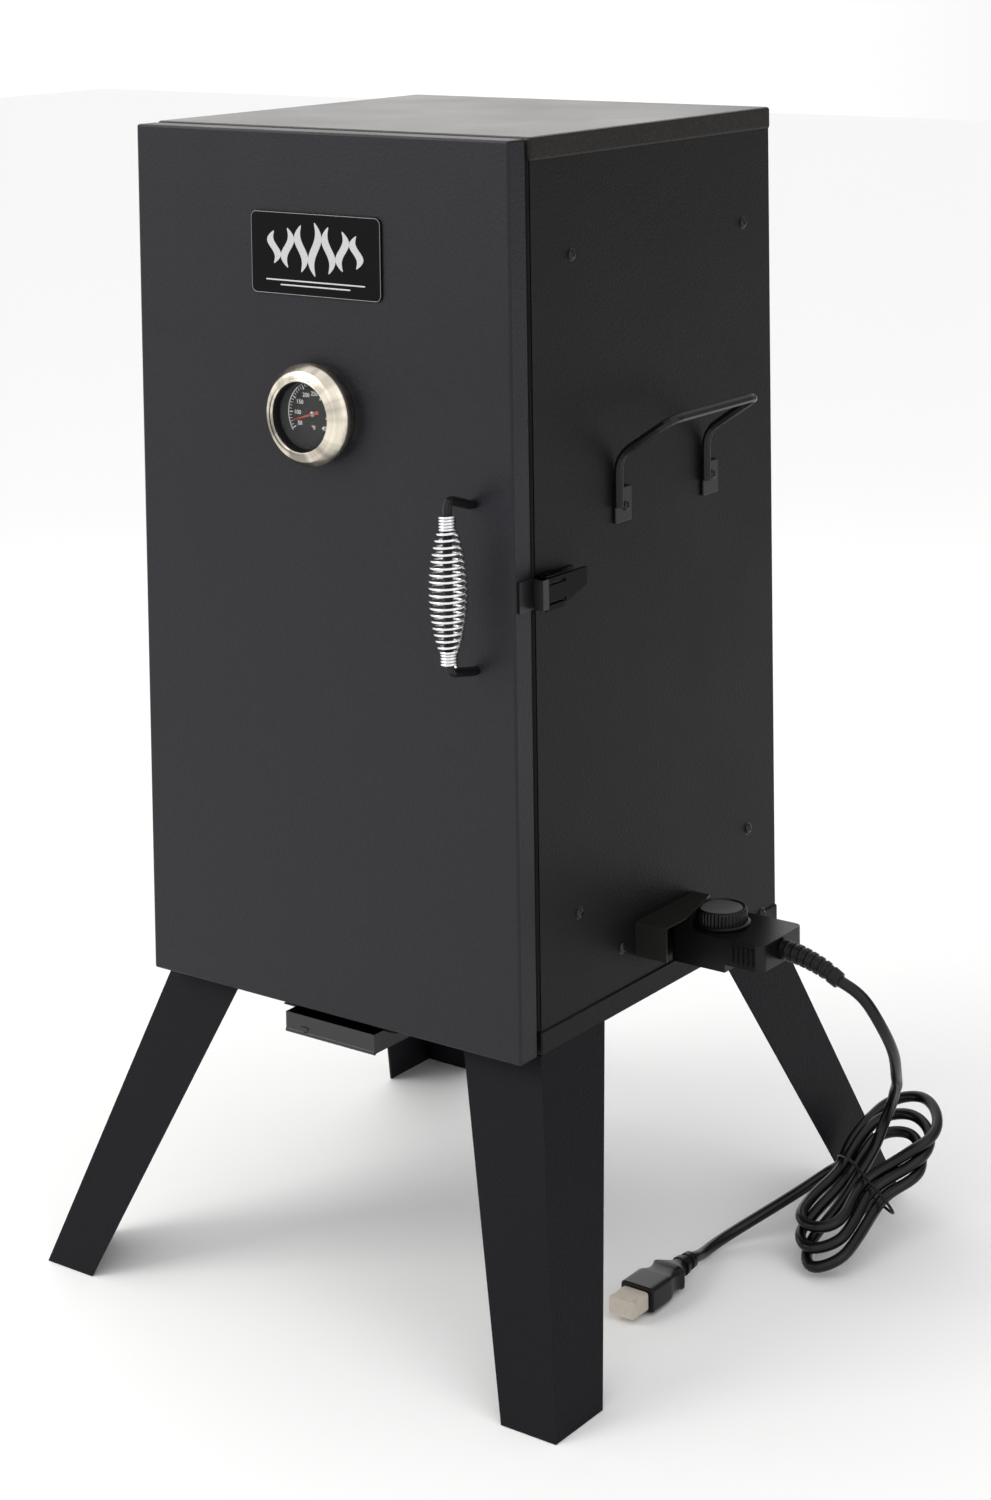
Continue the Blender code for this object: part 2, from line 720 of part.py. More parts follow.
def make_hinge(name, height):
    """A pin hinge on the left side: the cabinet's knuckle below, the door's above, and the pin."""
    plate_in = -(SIDE + GAP)
    plate_out = plate_in - SHEET
    knuckle = 4 * MM
    bore = 2.5 * MM + GAP
    half_gap = GAP / 2
    axis = (HINGE_X, HINGE_Y)

    def leaf(leaf_name, low_y, high_y, tab_low, tab_high, low, high):
        reach = HINGE_REACH
        body = box(leaf_name, (plate_out, low_y, height - reach), (plate_in, high_y, height + reach))
        tab = box("tab", (HINGE_X + 2 * MM, tab_low, low), (plate_in, tab_high, high))
        barrel = rod("barrel", (*axis, low), (*axis, high), knuckle)
        way = rod("pin_way", (*axis, low - 0.01), (*axis, high + 0.01), bore)
        return cut(joined(body, tab, barrel), way)

    low = height - HINGE_REACH
    high = height + HINGE_REACH
    leaf(
        "hinge_leaf_body_" + name,
        HINGE_Y + 6 * MM,
        HINGE_Y + 34 * MM,
        HINGE_Y + 1 * MM,
        HINGE_Y + 7 * MM,
        low,
        height - half_gap,
    )
    leaf(
        "hinge_leaf_door_" + name,
        HINGE_Y - 21 * MM,
        HINGE_Y - 5 * MM,
        HINGE_Y - 6 * MM,
        HINGE_Y - 1 * MM,
        height + half_gap,
        high,
    )
    pin = rod("hinge_pin_" + name, (*axis, low - 2 * MM), (*axis, high + 2 * MM), bore - GAP)
    cap = rod("cap", (*axis, high + GAP), (*axis, high + 3 * MM), knuckle)
    joined(pin, cap)


def make_latch():
    """A draw latch: a base with two ears, a lever between them, a hook on two arms and the door's keeper."""
    wall = SIDE + GAP
    pivot_x, pivot_y = LATCH_PIVOT
    low = LATCH_Z - LATCH_HALF
    high = LATCH_Z + LATCH_HALF
    sheet = 1.5 * MM
    outer = SIDE + 11.5 * MM
    cover = SIDE + 13.2 * MM

    base = box("latch_base", (wall, pivot_y + 7 * MM, low), (wall + sheet, 82 * MM, high))
    ears = []
    for z in (low - sheet, high):
        ears.append(box("ear", (wall, 29 * MM, z), (outer, 54 * MM, z + sheet)))
    pin_low = (pivot_x, pivot_y, low - 2 * sheet)
    pin = rod("pin", pin_low, (pivot_x, pivot_y, high + 2 * sheet), 1.5 * MM, 12)
    joined(base, *ears, pin)

    clear = 0.5 * MM
    inner = wall + sheet + clear
    near = pivot_y - 4.5 * MM
    reach = LATCH_HALF - clear
    side_view = [(near, -reach), (50 * MM, -reach), (85 * MM, -2 * MM), (85 * MM, reach), (near, reach)]
    middle = Matrix.Translation(((inner + cover) / 2, 0, LATCH_Z))
    upright = Matrix(((0, 0, 1, 0), (1, 0, 0, 0), (0, 1, 0, 0), (0, 0, 0, 1)))
    lever = plate("latch_lever", [side_view], cover - inner, middle @ upright)
    room = box("lever_room", (0, near + sheet, low + 3 * MM), (cover - sheet, 58 * MM, high - 3 * MM))
    under = box("under_lever", (0, 56 * MM, low - sheet), (cover - 2 * sheet, 1, high + sheet))
    slots = []
    for z in (LATCH_Z - BAIL_REACH, LATCH_Z + BAIL_REACH):
        slot_low = (BAIL_PIVOT[0] - 2 * sheet, 0, z - 1 * sheet)
        slots.append(box("bail_slot", slot_low, (1, 54 * MM, z + 1 * sheet)))
    way = rod("pin_way", (pivot_x, pivot_y, low - 0.01), (pivot_x, pivot_y, high + 0.01), 1.9 * MM, 16)
    hinged(cut(lever, room, under, way, *slots), (pivot_x, pivot_y, LATCH_Z))

    keeper = box("latch_keeper", (wall, 5 * MM, low), (wall + sheet, 25 * MM, high))
    lip_low = (wall, 24.3 * MM, LATCH_Z - 9 * MM)
    joined(keeper, box("lip", lip_low, (SIDE + 8.5 * MM, 25.8 * MM, LATCH_Z + 9 * MM)))

    x, y = BAIL_PIVOT
    claw_front = 22 * MM
    plate_low = (cover - sheet, claw_front, LATCH_Z - reach)
    claw = box("latch_bail", plate_low, (cover, near - GAP, LATCH_Z + reach))
    hook_low = (SIDE + 4.5 * MM, claw_front, LATCH_Z - reach)
    hook = box("hook", hook_low, (cover, claw_front + sheet, LATCH_Z + reach))
    arms = []
    for z in (LATCH_Z - BAIL_REACH, LATCH_Z + BAIL_REACH):
        arms.append(rod("arm", (x, claw_front + 1 * MM, z), (x, y, z), BAIL_WIRE, 16))
    hinged(joined(claw, hook, *arms), (x, y, LATCH_Z))


def make_controller():
    """The plug-in heat controller, the bracket that shields it and its knob, probe and strain relief."""
    plate_top = FLOOR + 71 * MM + SHEET
    front = 170 * MM
    wall = SIDE + GAP
    out = 32 * MM
    outline = [
        (0, front),
        (out, front),
        (out, front + 31 * MM),
        (17 * MM, front + 94 * MM),
        (0, front + 94 * MM),
    ]
    outline = [(wall + x, y) for x, y in outline]
    top = Matrix.Translation((0, 0, plate_top - SHEET / 2))
    guard = plate("controller_guard", [outline], SHEET, top)
    face = box("face", (wall, front, FLOOR + 42 * MM), (wall + out, front + SHEET, plate_top))
    flange_high = (wall + SHEET, front + 94 * MM, plate_top)
    back_flange = box("flange", (wall, front, plate_top - 18 * MM), flange_high)
    joined(guard, face, back_flange)

    low = FLOOR + 24 * MM
    step = FLOOR + 31 * MM
    high = FLOOR + 54 * MM
    middle = (CONTROLLER_IN + CONTROLLER_OUT) / 2
    shape = rounded_outline(CONTROLLER_OUT - CONTROLLER_IN, CONTROLLER_BACK - CONTROLLER_FRONT, 7 * MM)
    centre = (middle, (CONTROLLER_FRONT + CONTROLLER_BACK) / 2, (low + high) / 2)
    housing = plate("controller_housing", [shape], high - low, Matrix.Translation(centre))
    under = box("under_step", (SIDE + 60 * MM, 0, 0), (1, 1, step))
    housing = softened(cut(housing, under), 2 * MM)
    sockets = []
    for side in (-1, 1):
        y = CONTROLLER_MIDDLE + side * PIN_SPREAD
        start = (CONTROLLER_IN - 0.01, y, CONTROLLER_Z)
        sockets.append(rod("socket", start, (PIN_END + 3 * MM, y, CONTROLLER_Z), PIN_RADIUS + 1 * MM, 16))
    housing = cut(housing, *sockets)
    ribs = []
    for number in range(5):
        x = CONTROLLER_OUT - (11 + 5 * number) * MM
        rib_low = (x, CONTROLLER_FRONT - 1.2 * MM, step + 4 * MM)
        ribs.append(box("rib", rib_low, (x + 2 * MM, CONTROLLER_FRONT + 2 * MM, high - 4 * MM)))
    hinged(joined(housing, *ribs), (CONTROLLER_IN, CONTROLLER_MIDDLE, CONTROLLER_Z))

    y = CONTROLLER_MIDDLE
    z = CONTROLLER_Z
    start = (CONTROLLER_IN - GAP, y, z)
    softened(rod("controller_probe", start, (PROBE_END, y, z), PROBE_RADIUS), 1.5 * MM)

    base = high + GAP
    top = FLOOR + 69 * MM
    knob_profile = [
        (0, top - 1 * MM),
        (15 * MM, top - 1 * MM),
        (16 * MM, top),
        (20 * MM, top),
        (22 * MM, top - 2 * MM),
        (22.5 * MM, base + 5 * MM),
        (26 * MM, base + 4 * MM),
        (26 * MM, base),
        (0, base),
    ]
    knob = turned("controller_knob", knob_profile, Matrix.Translation((*KNOB_XY, 0)), 28)
    hinged(knob, (*KNOB_XY, base))


def hank_point(along, across, out):
    """A place in the tied bundle: along it from its foot, across it and out from its middle plane."""
    level = Vector((math.cos(HANK_TURN), math.sin(HANK_TURN), 0))
    rise = level * math.cos(HANK_TILT) + Vector((0, 0, math.sin(HANK_TILT)))
    side = Vector((0, 0, 1)).cross(level)
    return HANK_FOOT + rise * along + side * across + side.cross(rise) * -out


def make_cord():
    """The strain relief, the cord's drop, the tied bundle, the tail on the floor and the plug."""
    radius = CORD / 2
    gap = GAP
    start = Vector((CONTROLLER_OUT + gap, CONTROLLER_MIDDLE, FLOOR + 43 * MM))
    stops = [
        start + Vector((3 * MM, 0, 0)),
        start + Vector((20 * MM, 0, -3 * MM)),
        RELIEF_END - Vector((16 * MM, 0, -8 * MM)),
        RELIEF_END,
    ]
    line = smooth_line(stops, 6 * MM)
    relief = tube("cord_strain_relief", line, 7.5 * MM, 2)
    joined(relief, rod("collar", start, start + Vector((6 * MM, 0, 0)), 10 * MM))

    down = (stops[-1] - stops[-2]).normalized()
    centre = hank_point(HANK_LENGTH / 2 - 7 * MM, 2 * MM, 5 * MM)
    up = hank_point(0, 0, 1) - hank_point(0, 0, 0)
    across = hank_point(0, 1, 0) - hank_point(0, 0, 0)
    outline = rounded_outline(HANK_LENGTH, HANK_WIDTH, HANK_WIDTH * 0.49, 8)
    softened(plate("cord_hank", [outline], HANK_THICK, facing(centre, up, across)), 8 * MM, 3)

    top_face = 5 * MM + HANK_THICK / 2 + GAP
    neck = hank_point(140 * MM, 5 * MM, top_face)
    drop = [
        RELIEF_END + down * GAP,
        RELIEF_END + down * 12 * MM,
        Vector((391 * MM, 268 * MM, 252 * MM)),
        Vector((388 * MM, 292 * MM, 222 * MM)),
        Vector((374 * MM, 322 * MM, 190 * MM)),
        Vector((356 * MM, 356 * MM, 166 * MM)),
        Vector((336 * MM, 388 * MM, 144 * MM)),
        Vector((320 * MM, 412 * MM, 121 * MM)),
        neck + up * 22 * MM,
        neck,
    ]
    tube("cord_drop", smooth_line(drop, 24 * MM), radius, 2)

    edge = hank_point(92 * MM, 2 * MM + HANK_WIDTH / 2 + GAP, 5 * MM)
    tail = [
        edge,
        edge + across * 8 * MM,
        edge + across * 16 * MM + Vector((0, -14 * MM, -8 * MM)),
        Vector((229 * MM, 326 * MM, 20 * MM)),
        Vector((218 * MM, 300 * MM, radius + 2 * MM)),
        Vector((212 * MM, 272 * MM, radius + 2 * MM)),
        PLUG_NECK + Vector((0, 9 * MM, 0)),
        PLUG_NECK + Vector((0, GAP, 0)),
    ]
    tube("cord_tail", smooth_line(tail, 24 * MM), radius, 2)

    end = PLUG_NECK.y - 86 * MM
    neck_cone = rod("mains_plug", PLUG_NECK, PLUG_NECK - Vector((0, 34 * MM, 0)), 6 * MM, 16, 11 * MM)
    low = (PLUG_NECK.x - 17 * MM, end, PLUG_NECK.z - 11 * MM)
    high = (PLUG_NECK.x + 17 * MM, PLUG_NECK.y - 30 * MM, PLUG_NECK.z + 11 * MM)
    joined(neck_cone, softened(box("plug_body", low, high), 4 * MM))
    low = (PLUG_NECK.x - 13 * MM, end - 24 * MM, PLUG_NECK.z - 8 * MM)
    high = (PLUG_NECK.x + 13 * MM, end - gap, PLUG_NECK.z + 8 * MM)
    softened(box("plug_blade_sleeve", low, high), 2 * MM)


FINISH_OF = {
    "inner_steel": (
        "rack_support",
        "water_pan",
        "wood_chip_tray",
        "element_foot",
        "door_liner",
        "front_frame",
    ),
    "black_rod": ("carry_handle", "door_handle_bar", "latch", "hinge_leaf"),
    "chrome_wire": ("door_handle_grip", "cooking_grid"),
    "brushed_ring": ("gauge_ring",),
    "name_plate": ("name_plate",),
    "dial_black": ("gauge_dial",),
    "pointer_red": ("gauge_pointer",),
    "clear_glass": ("gauge_lens",),
    "black_plastic": ("controller_housing", "terminal_block", "cord_strain_relief", "mains_plug"),
    "knob_grey": ("controller_knob",),
    "cord_black": ("cord_drop", "cord_hank", "cord_tail"),
    "sleeve_grey": ("plug_blade_sleeve",),
    "plain_steel": ("heating_element", "controller_probe", "gauge_stem", "hinge_pin", "handle_nut"),
    "rope_seal": ("door_gasket",),
}


def finish_of(name):
    for finish, starts in FINISH_OF.items():
        if name.startswith(starts):
            return finish
    return "black_steel"


def paint(obj):
    """Gives the piece its own material in the finish that its name calls for."""
    colour, metallic, roughness = FINISHES[finish_of(obj.name)]
    material = bpy.data.materials.new(obj.name)
    material.use_nodes = True
    shader = material.node_tree.nodes["Principled BSDF"]
    shader.inputs["Base Color"].default_value = (*colour, 1)
    shader.inputs["Metallic"].default_value = metallic
    shader.inputs["Roughness"].default_value = roughness
    obj.data.materials.clear()
    obj.data.materials.append(material)


def main():
    clear_scene()
    pieces = bpy.data.collections.new(COLLECTION)
    bpy.context.scene.collection.children.link(pieces)
    make_cabinet()
    for side, side_name in ((-1, "left"), (1, "right")):
        make_leg("leg_front_" + side_name, side, -1)
        make_leg("leg_rear_" + side_name, side, 1)
        make_carry_handle(side, "carry_handle_" + side_name)
    make_cooking_fittings()
    make_element()
    make_drip_tray()
    make_door()
    make_door_handle()
    make_name_plate()
    make_gauge()
    for name, height in HINGE_HEIGHTS.items():
        make_hinge(name, height)
    make_latch()
    make_controller()
    make_cord()
    for obj in pieces.objects:
        obj.data.shade_smooth()
        obj.data.set_sharp_from_angle(angle=math.radians(35))
        paint(obj)
    on_door = ("door_", "gauge_", "name_plate", "handle_nut", "hinge_leaf_door", "latch_keeper")
    carried("door_axis", (HINGE_X, HINGE_Y, FLOOR), on_door)
    unplugged = ("controller_housing", "controller_probe", "controller_knob", "cord_", "mains_plug", "plug_")
    carried("controller_axis", (CONTROLLER_IN, CONTROLLER_MIDDLE, CONTROLLER_Z), unplugged)
    for obj in pieces.objects:
        if obj.parent is None:
            obj.location -= MIDDLE


main()
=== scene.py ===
"""Looks of the electric cabinet smoker: camera, light, cord, fine pieces and materials.

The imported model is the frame. Places come from its boxes. In the comments, x runs to the right of someone
facing the door, y runs to the back and z up. Lengths are in metres where no comment says millimetres.
"""

import math

import bmesh
import bpy
import numpy as np
from mathutils import Matrix, Vector


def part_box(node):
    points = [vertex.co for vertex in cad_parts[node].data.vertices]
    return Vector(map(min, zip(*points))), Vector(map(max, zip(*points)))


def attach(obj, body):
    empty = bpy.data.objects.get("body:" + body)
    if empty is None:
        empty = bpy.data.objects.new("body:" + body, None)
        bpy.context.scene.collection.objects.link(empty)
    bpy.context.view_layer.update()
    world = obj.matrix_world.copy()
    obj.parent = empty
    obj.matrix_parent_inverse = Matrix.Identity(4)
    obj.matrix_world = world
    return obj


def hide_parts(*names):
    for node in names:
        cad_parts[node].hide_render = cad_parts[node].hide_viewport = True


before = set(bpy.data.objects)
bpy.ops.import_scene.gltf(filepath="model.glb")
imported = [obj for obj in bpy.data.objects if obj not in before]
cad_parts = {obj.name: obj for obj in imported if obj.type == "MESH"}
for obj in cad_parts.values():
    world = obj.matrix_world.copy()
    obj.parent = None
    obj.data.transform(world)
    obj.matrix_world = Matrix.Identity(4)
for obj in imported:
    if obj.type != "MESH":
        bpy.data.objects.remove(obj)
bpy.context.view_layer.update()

MM = 0.001
DOOR_LOW, DOOR_HIGH = (Vector(corner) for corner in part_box("door_skin"))
GAUGE_LOW, GAUGE_HIGH = (Vector(corner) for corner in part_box("gauge_ring"))
PLATE_LOW, PLATE_HIGH = (Vector(corner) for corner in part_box("name_plate"))

# The middle of the cabinet and the front face of its door
MIDDLE_X = (DOOR_LOW.x + DOOR_HIGH.x) / 2
FRONT_Y = DOOR_LOW.y

# The camera: its lens in millimetres, its shift on the lens, its place as at() takes it, and its turns
LENS = 70.95
FRAME_SHIFT = -0.447
CAMERA_PLACE = (1596.3, -1912.3, 1223.05)
YAW = math.radians(36.3)
PITCH = math.radians(3.54)
ROLL = math.radians(-0.83)

# The studio is dimmest this way, which is what the right side reflects towards the camera
DIM_SIDE = Vector((0.6, 0.8, 0)).normalized()


def at(x, y, z):
    """A place in millimetres from the cabinet's middle, its door's front face and the floor."""
    return Vector((MIDDLE_X + x * MM, FRONT_Y + y * MM, z * MM))


# ---------------------------------------------------------------- camera and light


def set_camera():
    """The photograph's viewpoint. A shift on the lens keeps the uprights nearly parallel."""
    camera = bpy.data.cameras.new("Camera")
    camera.lens = LENS
    camera.sensor_width = 36
    camera.shift_y = FRAME_SHIFT
    obj = bpy.data.objects.new("Camera", camera)
    bpy.context.scene.collection.objects.link(obj)
    look = Vector((-math.sin(YAW) * math.cos(PITCH), math.cos(YAW) * math.cos(PITCH), -math.sin(PITCH)))
    right = look.cross(Vector((0, 0, 1))).normalized()
    up = right.cross(look)
    tilted_right = right * math.cos(ROLL) + up * math.sin(ROLL)
    tilted_up = up * math.cos(ROLL) - right * math.sin(ROLL)
    turn = Matrix((tilted_right, tilted_up, -look)).transposed()
    obj.matrix_world = Matrix.Translation(at(*CAMERA_PLACE)) @ turn.to_4x4()
    bpy.context.scene.camera = obj


def area_light(name, place, target, size, power, colour=(1, 1, 1)):
    """A soft rectangular lamp that faces a target."""
    light = bpy.data.lights.new(name, "AREA")
    light.shape = "RECTANGLE"
    light.size, light.size_y = size
    light.energy = power
    light.color = colour
    obj = bpy.data.objects.new(name, light)
    obj.location = place
    obj.rotation_euler = (Vector(target) - Vector(place)).to_track_quat("-Z", "Y").to_euler()
    bpy.context.scene.collection.objects.link(obj)


def set_light():
    """A white studio that is dimmer behind and to the right, with three soft lamps."""
    world = bpy.data.worlds.new("Studio")
    world.use_nodes = True
    tree = world.node_tree
    place = add(tree, "ShaderNodeTexCoord")
    toward = add(tree, "ShaderNodeVectorMath", operation="DOT_PRODUCT")
    toward.inputs[1].default_value = DIM_SIDE
    tree.links.new(place.outputs["Generated"], toward.inputs[0])
    level = add(tree, "ShaderNodeMapRange", interpolation_type="SMOOTHSTEP")
    level.inputs["From Min"].default_value = 0.25
    level.inputs["From Max"].default_value = 0.95
    level.inputs["To Min"].default_value = 1.1
    level.inputs["To Max"].default_value = 0.3
    tree.links.new(toward.outputs["Value"], level.inputs["Value"])
    tree.links.new(level.outputs["Result"], tree.nodes["Background"].inputs["Strength"])
    tree.nodes["Background"].inputs["Color"].default_value = (1, 1, 1, 1)
    bpy.context.scene.world = world
    bpy.context.scene.view_settings.view_transform = "Standard"
    middle = at(0, 200, 600)
    area_light("Key", at(-1500, -1900, 2300), middle, (1.6, 1.6), 32, (1, 0.98, 0.96))
    area_light("Fill", at(2300, -300, 1500), middle, (1.2, 1.8), 4)
    area_light("Rim", at(-1900, 1900, 1700), middle, (2.0, 0.8), 5, (1, 0.96, 0.9))


def set_floor():
    """A wide pale floor, a little below the feet so that the two don't flicker."""
    bpy.ops.mesh.primitive_plane_add(size=24, location=(0, 0, -0.0005))
    floor = bpy.context.active_object
    floor.name = "Floor"
    material = bpy.data.materials.new("Pale floor")
    material.use_nodes = True
    shader = material.node_tree.nodes["Principled BSDF"]
    shader.inputs["Base Color"].default_value = (0.95, 0.95, 0.95, 1)
    shader.inputs["Roughness"].default_value = 0.9
    floor.data.materials.append(material)


# ---------------------------------------------------------------- materials


def add(tree, kind, **settings):
    """A shader node with its settings. A setting that names an input sets that input."""
    node = tree.nodes.new(kind)
    for name, value in settings.items():
        socket = node.inputs.get(name.replace("_", " "))
        if socket is None or hasattr(node, name):
            setattr(node, name, value)
        else:
            socket.default_value = value
    return node


def own_node(material, kind, number=0):
    """One of the material's nodes of a kind, counted in the order in which they were added."""
    return [node for node in material.node_tree.nodes if node.bl_idname == kind][number]


def surface(name, colour, roughness, metallic=0.0, grain=900, spread=0.25, bump=0.1, wear=0.08, **more):
    """A material whose colour, roughness and height vary a little, by fine grain and by broad patches."""
    material = bpy.data.materials.new(name)
    material.use_nodes = True
    tree = material.node_tree
    shader = tree.nodes["Principled BSDF"]
    shader.inputs["Metallic"].default_value = metallic
    for socket, value in more.items():
        shader.inputs[socket.replace("_", " ")].default_value = value
    place = add(tree, "ShaderNodeTexCoord")
    fine = add(tree, "ShaderNodeTexNoise", Scale=grain, Detail=3)
    broad = add(tree, "ShaderNodeTexNoise", Scale=9, Detail=4)
    for noise in (fine, broad):
        tree.links.new(place.outputs["Object"], noise.inputs["Vector"])

    tint = add(tree, "ShaderNodeMapRange", To_Min=1 - spread, To_Max=1 + spread)
    tree.links.new(fine.outputs["Fac"], tint.inputs["Value"])
    patch = add(tree, "ShaderNodeMapRange", To_Min=1 - spread / 2, To_Max=1 + spread / 2)
    tree.links.new(broad.outputs["Fac"], patch.inputs["Value"])
    both = add(tree, "ShaderNodeMath", operation="MULTIPLY")
    tree.links.new(tint.outputs["Result"], both.inputs[0])
    tree.links.new(patch.outputs["Result"], both.inputs[1])
    shade = add(tree, "ShaderNodeVectorMath", operation="SCALE")
    shade.inputs[0].default_value = colour
    tree.links.new(both.outputs["Value"], shade.inputs["Scale"])
    tree.links.new(shade.outputs["Vector"], shader.inputs["Base Color"])

    rough = add(tree, "ShaderNodeMapRange", To_Min=roughness - wear, To_Max=roughness + wear)
    tree.links.new(broad.outputs["Fac"], rough.inputs["Value"])
    tree.links.new(rough.outputs["Result"], shader.inputs["Roughness"])

    relief = add(tree, "ShaderNodeBump", Strength=bump, Distance=0.0004)
    tree.links.new(fine.outputs["Fac"], relief.inputs["Height"])
    tree.links.new(relief.outputs["Normal"], shader.inputs["Normal"])
    return material


def brushed(name, colour, roughness, stretch):
    """Metal with fine lines along one direction, which the stretch of the texture gives."""
    material = surface(name, colour, roughness, metallic=1.0, grain=220, spread=0.18, bump=0.05, wear=0.1)
    tree = material.node_tree
    mapping = add(tree, "ShaderNodeMapping")
    mapping.inputs["Scale"].default_value = stretch
    place = own_node(material, "ShaderNodeTexCoord")
    fine = own_node(material, "ShaderNodeTexNoise")
    tree.links.new(place.outputs["Object"], mapping.inputs["Vector"])
    tree.links.new(mapping.outputs["Vector"], fine.inputs["Vector"])
    return material


def paint(name, colour, specular, roughness=0.45):
    """Heat-proof paint with the fine orange-peel grain of a sprayed coat."""
    return surface(name, colour, roughness, grain=420, spread=0.7, bump=0.9, Specular_IOR_Level=specular)


def make_materials():
    """Every material of the object by its name here."""
    metal = {"metallic": 1.0, "grain": 300, "spread": 0.06, "bump": 0.02, "wear": 0.04}
    printed = {"grain": 700, "spread": 0.08, "bump": 0.03}
    return {
        "door paint": paint("Door paint", (0.006, 0.0055, 0.0095), 0.32),
        "panel paint": paint("Panel paint", (0.0042, 0.0042, 0.0042), 0.15),
        "lid paint": lid_paint(),
        "leg paint": paint("Leg paint", (0.0025, 0.0025, 0.0045), 0.15),
        "guard paint": surface(
            "Guard paint", (0.011, 0.0105, 0.0095), 0.38, spread=0.6, bump=0.3, wear=0.16
        ),
        "tray paint": surface("Tray paint", (0.009, 0.009, 0.009), 0.34, spread=0.5, bump=0.3),
        "inner paint": surface("Inner paint", (0.022, 0.021, 0.02), 0.62, bump=0.25, wear=0.12),
        "rod paint": surface(
            "Rod paint", (0.005, 0.005, 0.0055), 0.34, grain=500, bump=0.1, Specular_IOR_Level=0.3
        ),
        "latch paint": surface(
            "Latch paint", (0.0015, 0.0015, 0.0015), 0.36, grain=600, bump=0.3, Specular_IOR_Level=0.07
        ),
        "hook paint": surface(
            "Hook paint", (0.007, 0.007, 0.007), 0.36, grain=600, bump=0.3, Specular_IOR_Level=0.4
        ),
        "chrome": surface("Chrome wire", (0.8, 0.8, 0.81), 0.13, **metal),
        "ring metal": turned_metal(),
        "bare steel": brushed("Bare steel", (0.5, 0.5, 0.5), 0.35, (1, 1, 8)),
        "plate black": surface(
            "Plate black", (0.0015, 0.0015, 0.0015), 0.3, bump=0.03, Specular_IOR_Level=0.1
        ),
        "plate edge": surface("Plate edge", (0.2, 0.2, 0.2), 0.35, 0.6, **printed),
        "plate print": surface("Plate print", (0.5, 0.5, 0.5), 0.4, 0.3, **printed),
        "dial black": surface(
            "Dial black", (0.004, 0.004, 0.005), 0.6, bump=0.04, Specular_IOR_Level=0.15
        ),
        "dial white": surface("Dial white", (0.95, 0.95, 0.92), 0.5, **printed),
        "pointer red": surface("Pointer red", (0.5, 0.025, 0.01), 0.35, **printed),
        "plastic": surface(
            "Black plastic", (0.003, 0.003, 0.0033), 0.3, bump=0.15, Specular_IOR_Level=0.25
        ),
        "knob top": surface("Knob top", (0.085, 0.085, 0.088), 0.5, bump=0.2),
        "cord": surface(
            "Cord sheath", (0.0025, 0.0025, 0.003), 0.3, grain=350, bump=0.08, Specular_IOR_Level=0.3
        ),
        "sleeve": surface("Plug sleeve", (0.5, 0.45, 0.38), 0.5, grain=300, spread=0.15, bump=0.08),
        "screw": surface("Screw black", (0.006, 0.006, 0.006), 0.25, 0.3, grain=400, bump=0.05),
        "rope": surface("Rope seal", (0.16, 0.155, 0.14), 0.9, grain=260, spread=0.4, bump=0.6),
        "glass": clear_glass(),
    }


def lid_paint():
    """The lid's paint: shiny on the flat top, dull like the panels on the skirt."""
    material = paint("Lid paint", (0.02, 0.018, 0.016), 0.42, 0.38)
    tree = material.node_tree
    place = own_node(material, "ShaderNodeTexCoord")
    split = add(tree, "ShaderNodeSeparateXYZ")
    tree.links.new(place.outputs["Normal"], split.inputs["Vector"])
    gloss = add(tree, "ShaderNodeMapRange", From_Min=0.2, From_Max=0.8, To_Min=0.1, To_Max=0.43)
    tree.links.new(split.outputs["Z"], gloss.inputs["Value"])
    shader = tree.nodes["Principled BSDF"]
    tree.links.new(gloss.outputs["Result"], shader.inputs["Specular IOR Level"])
    return material


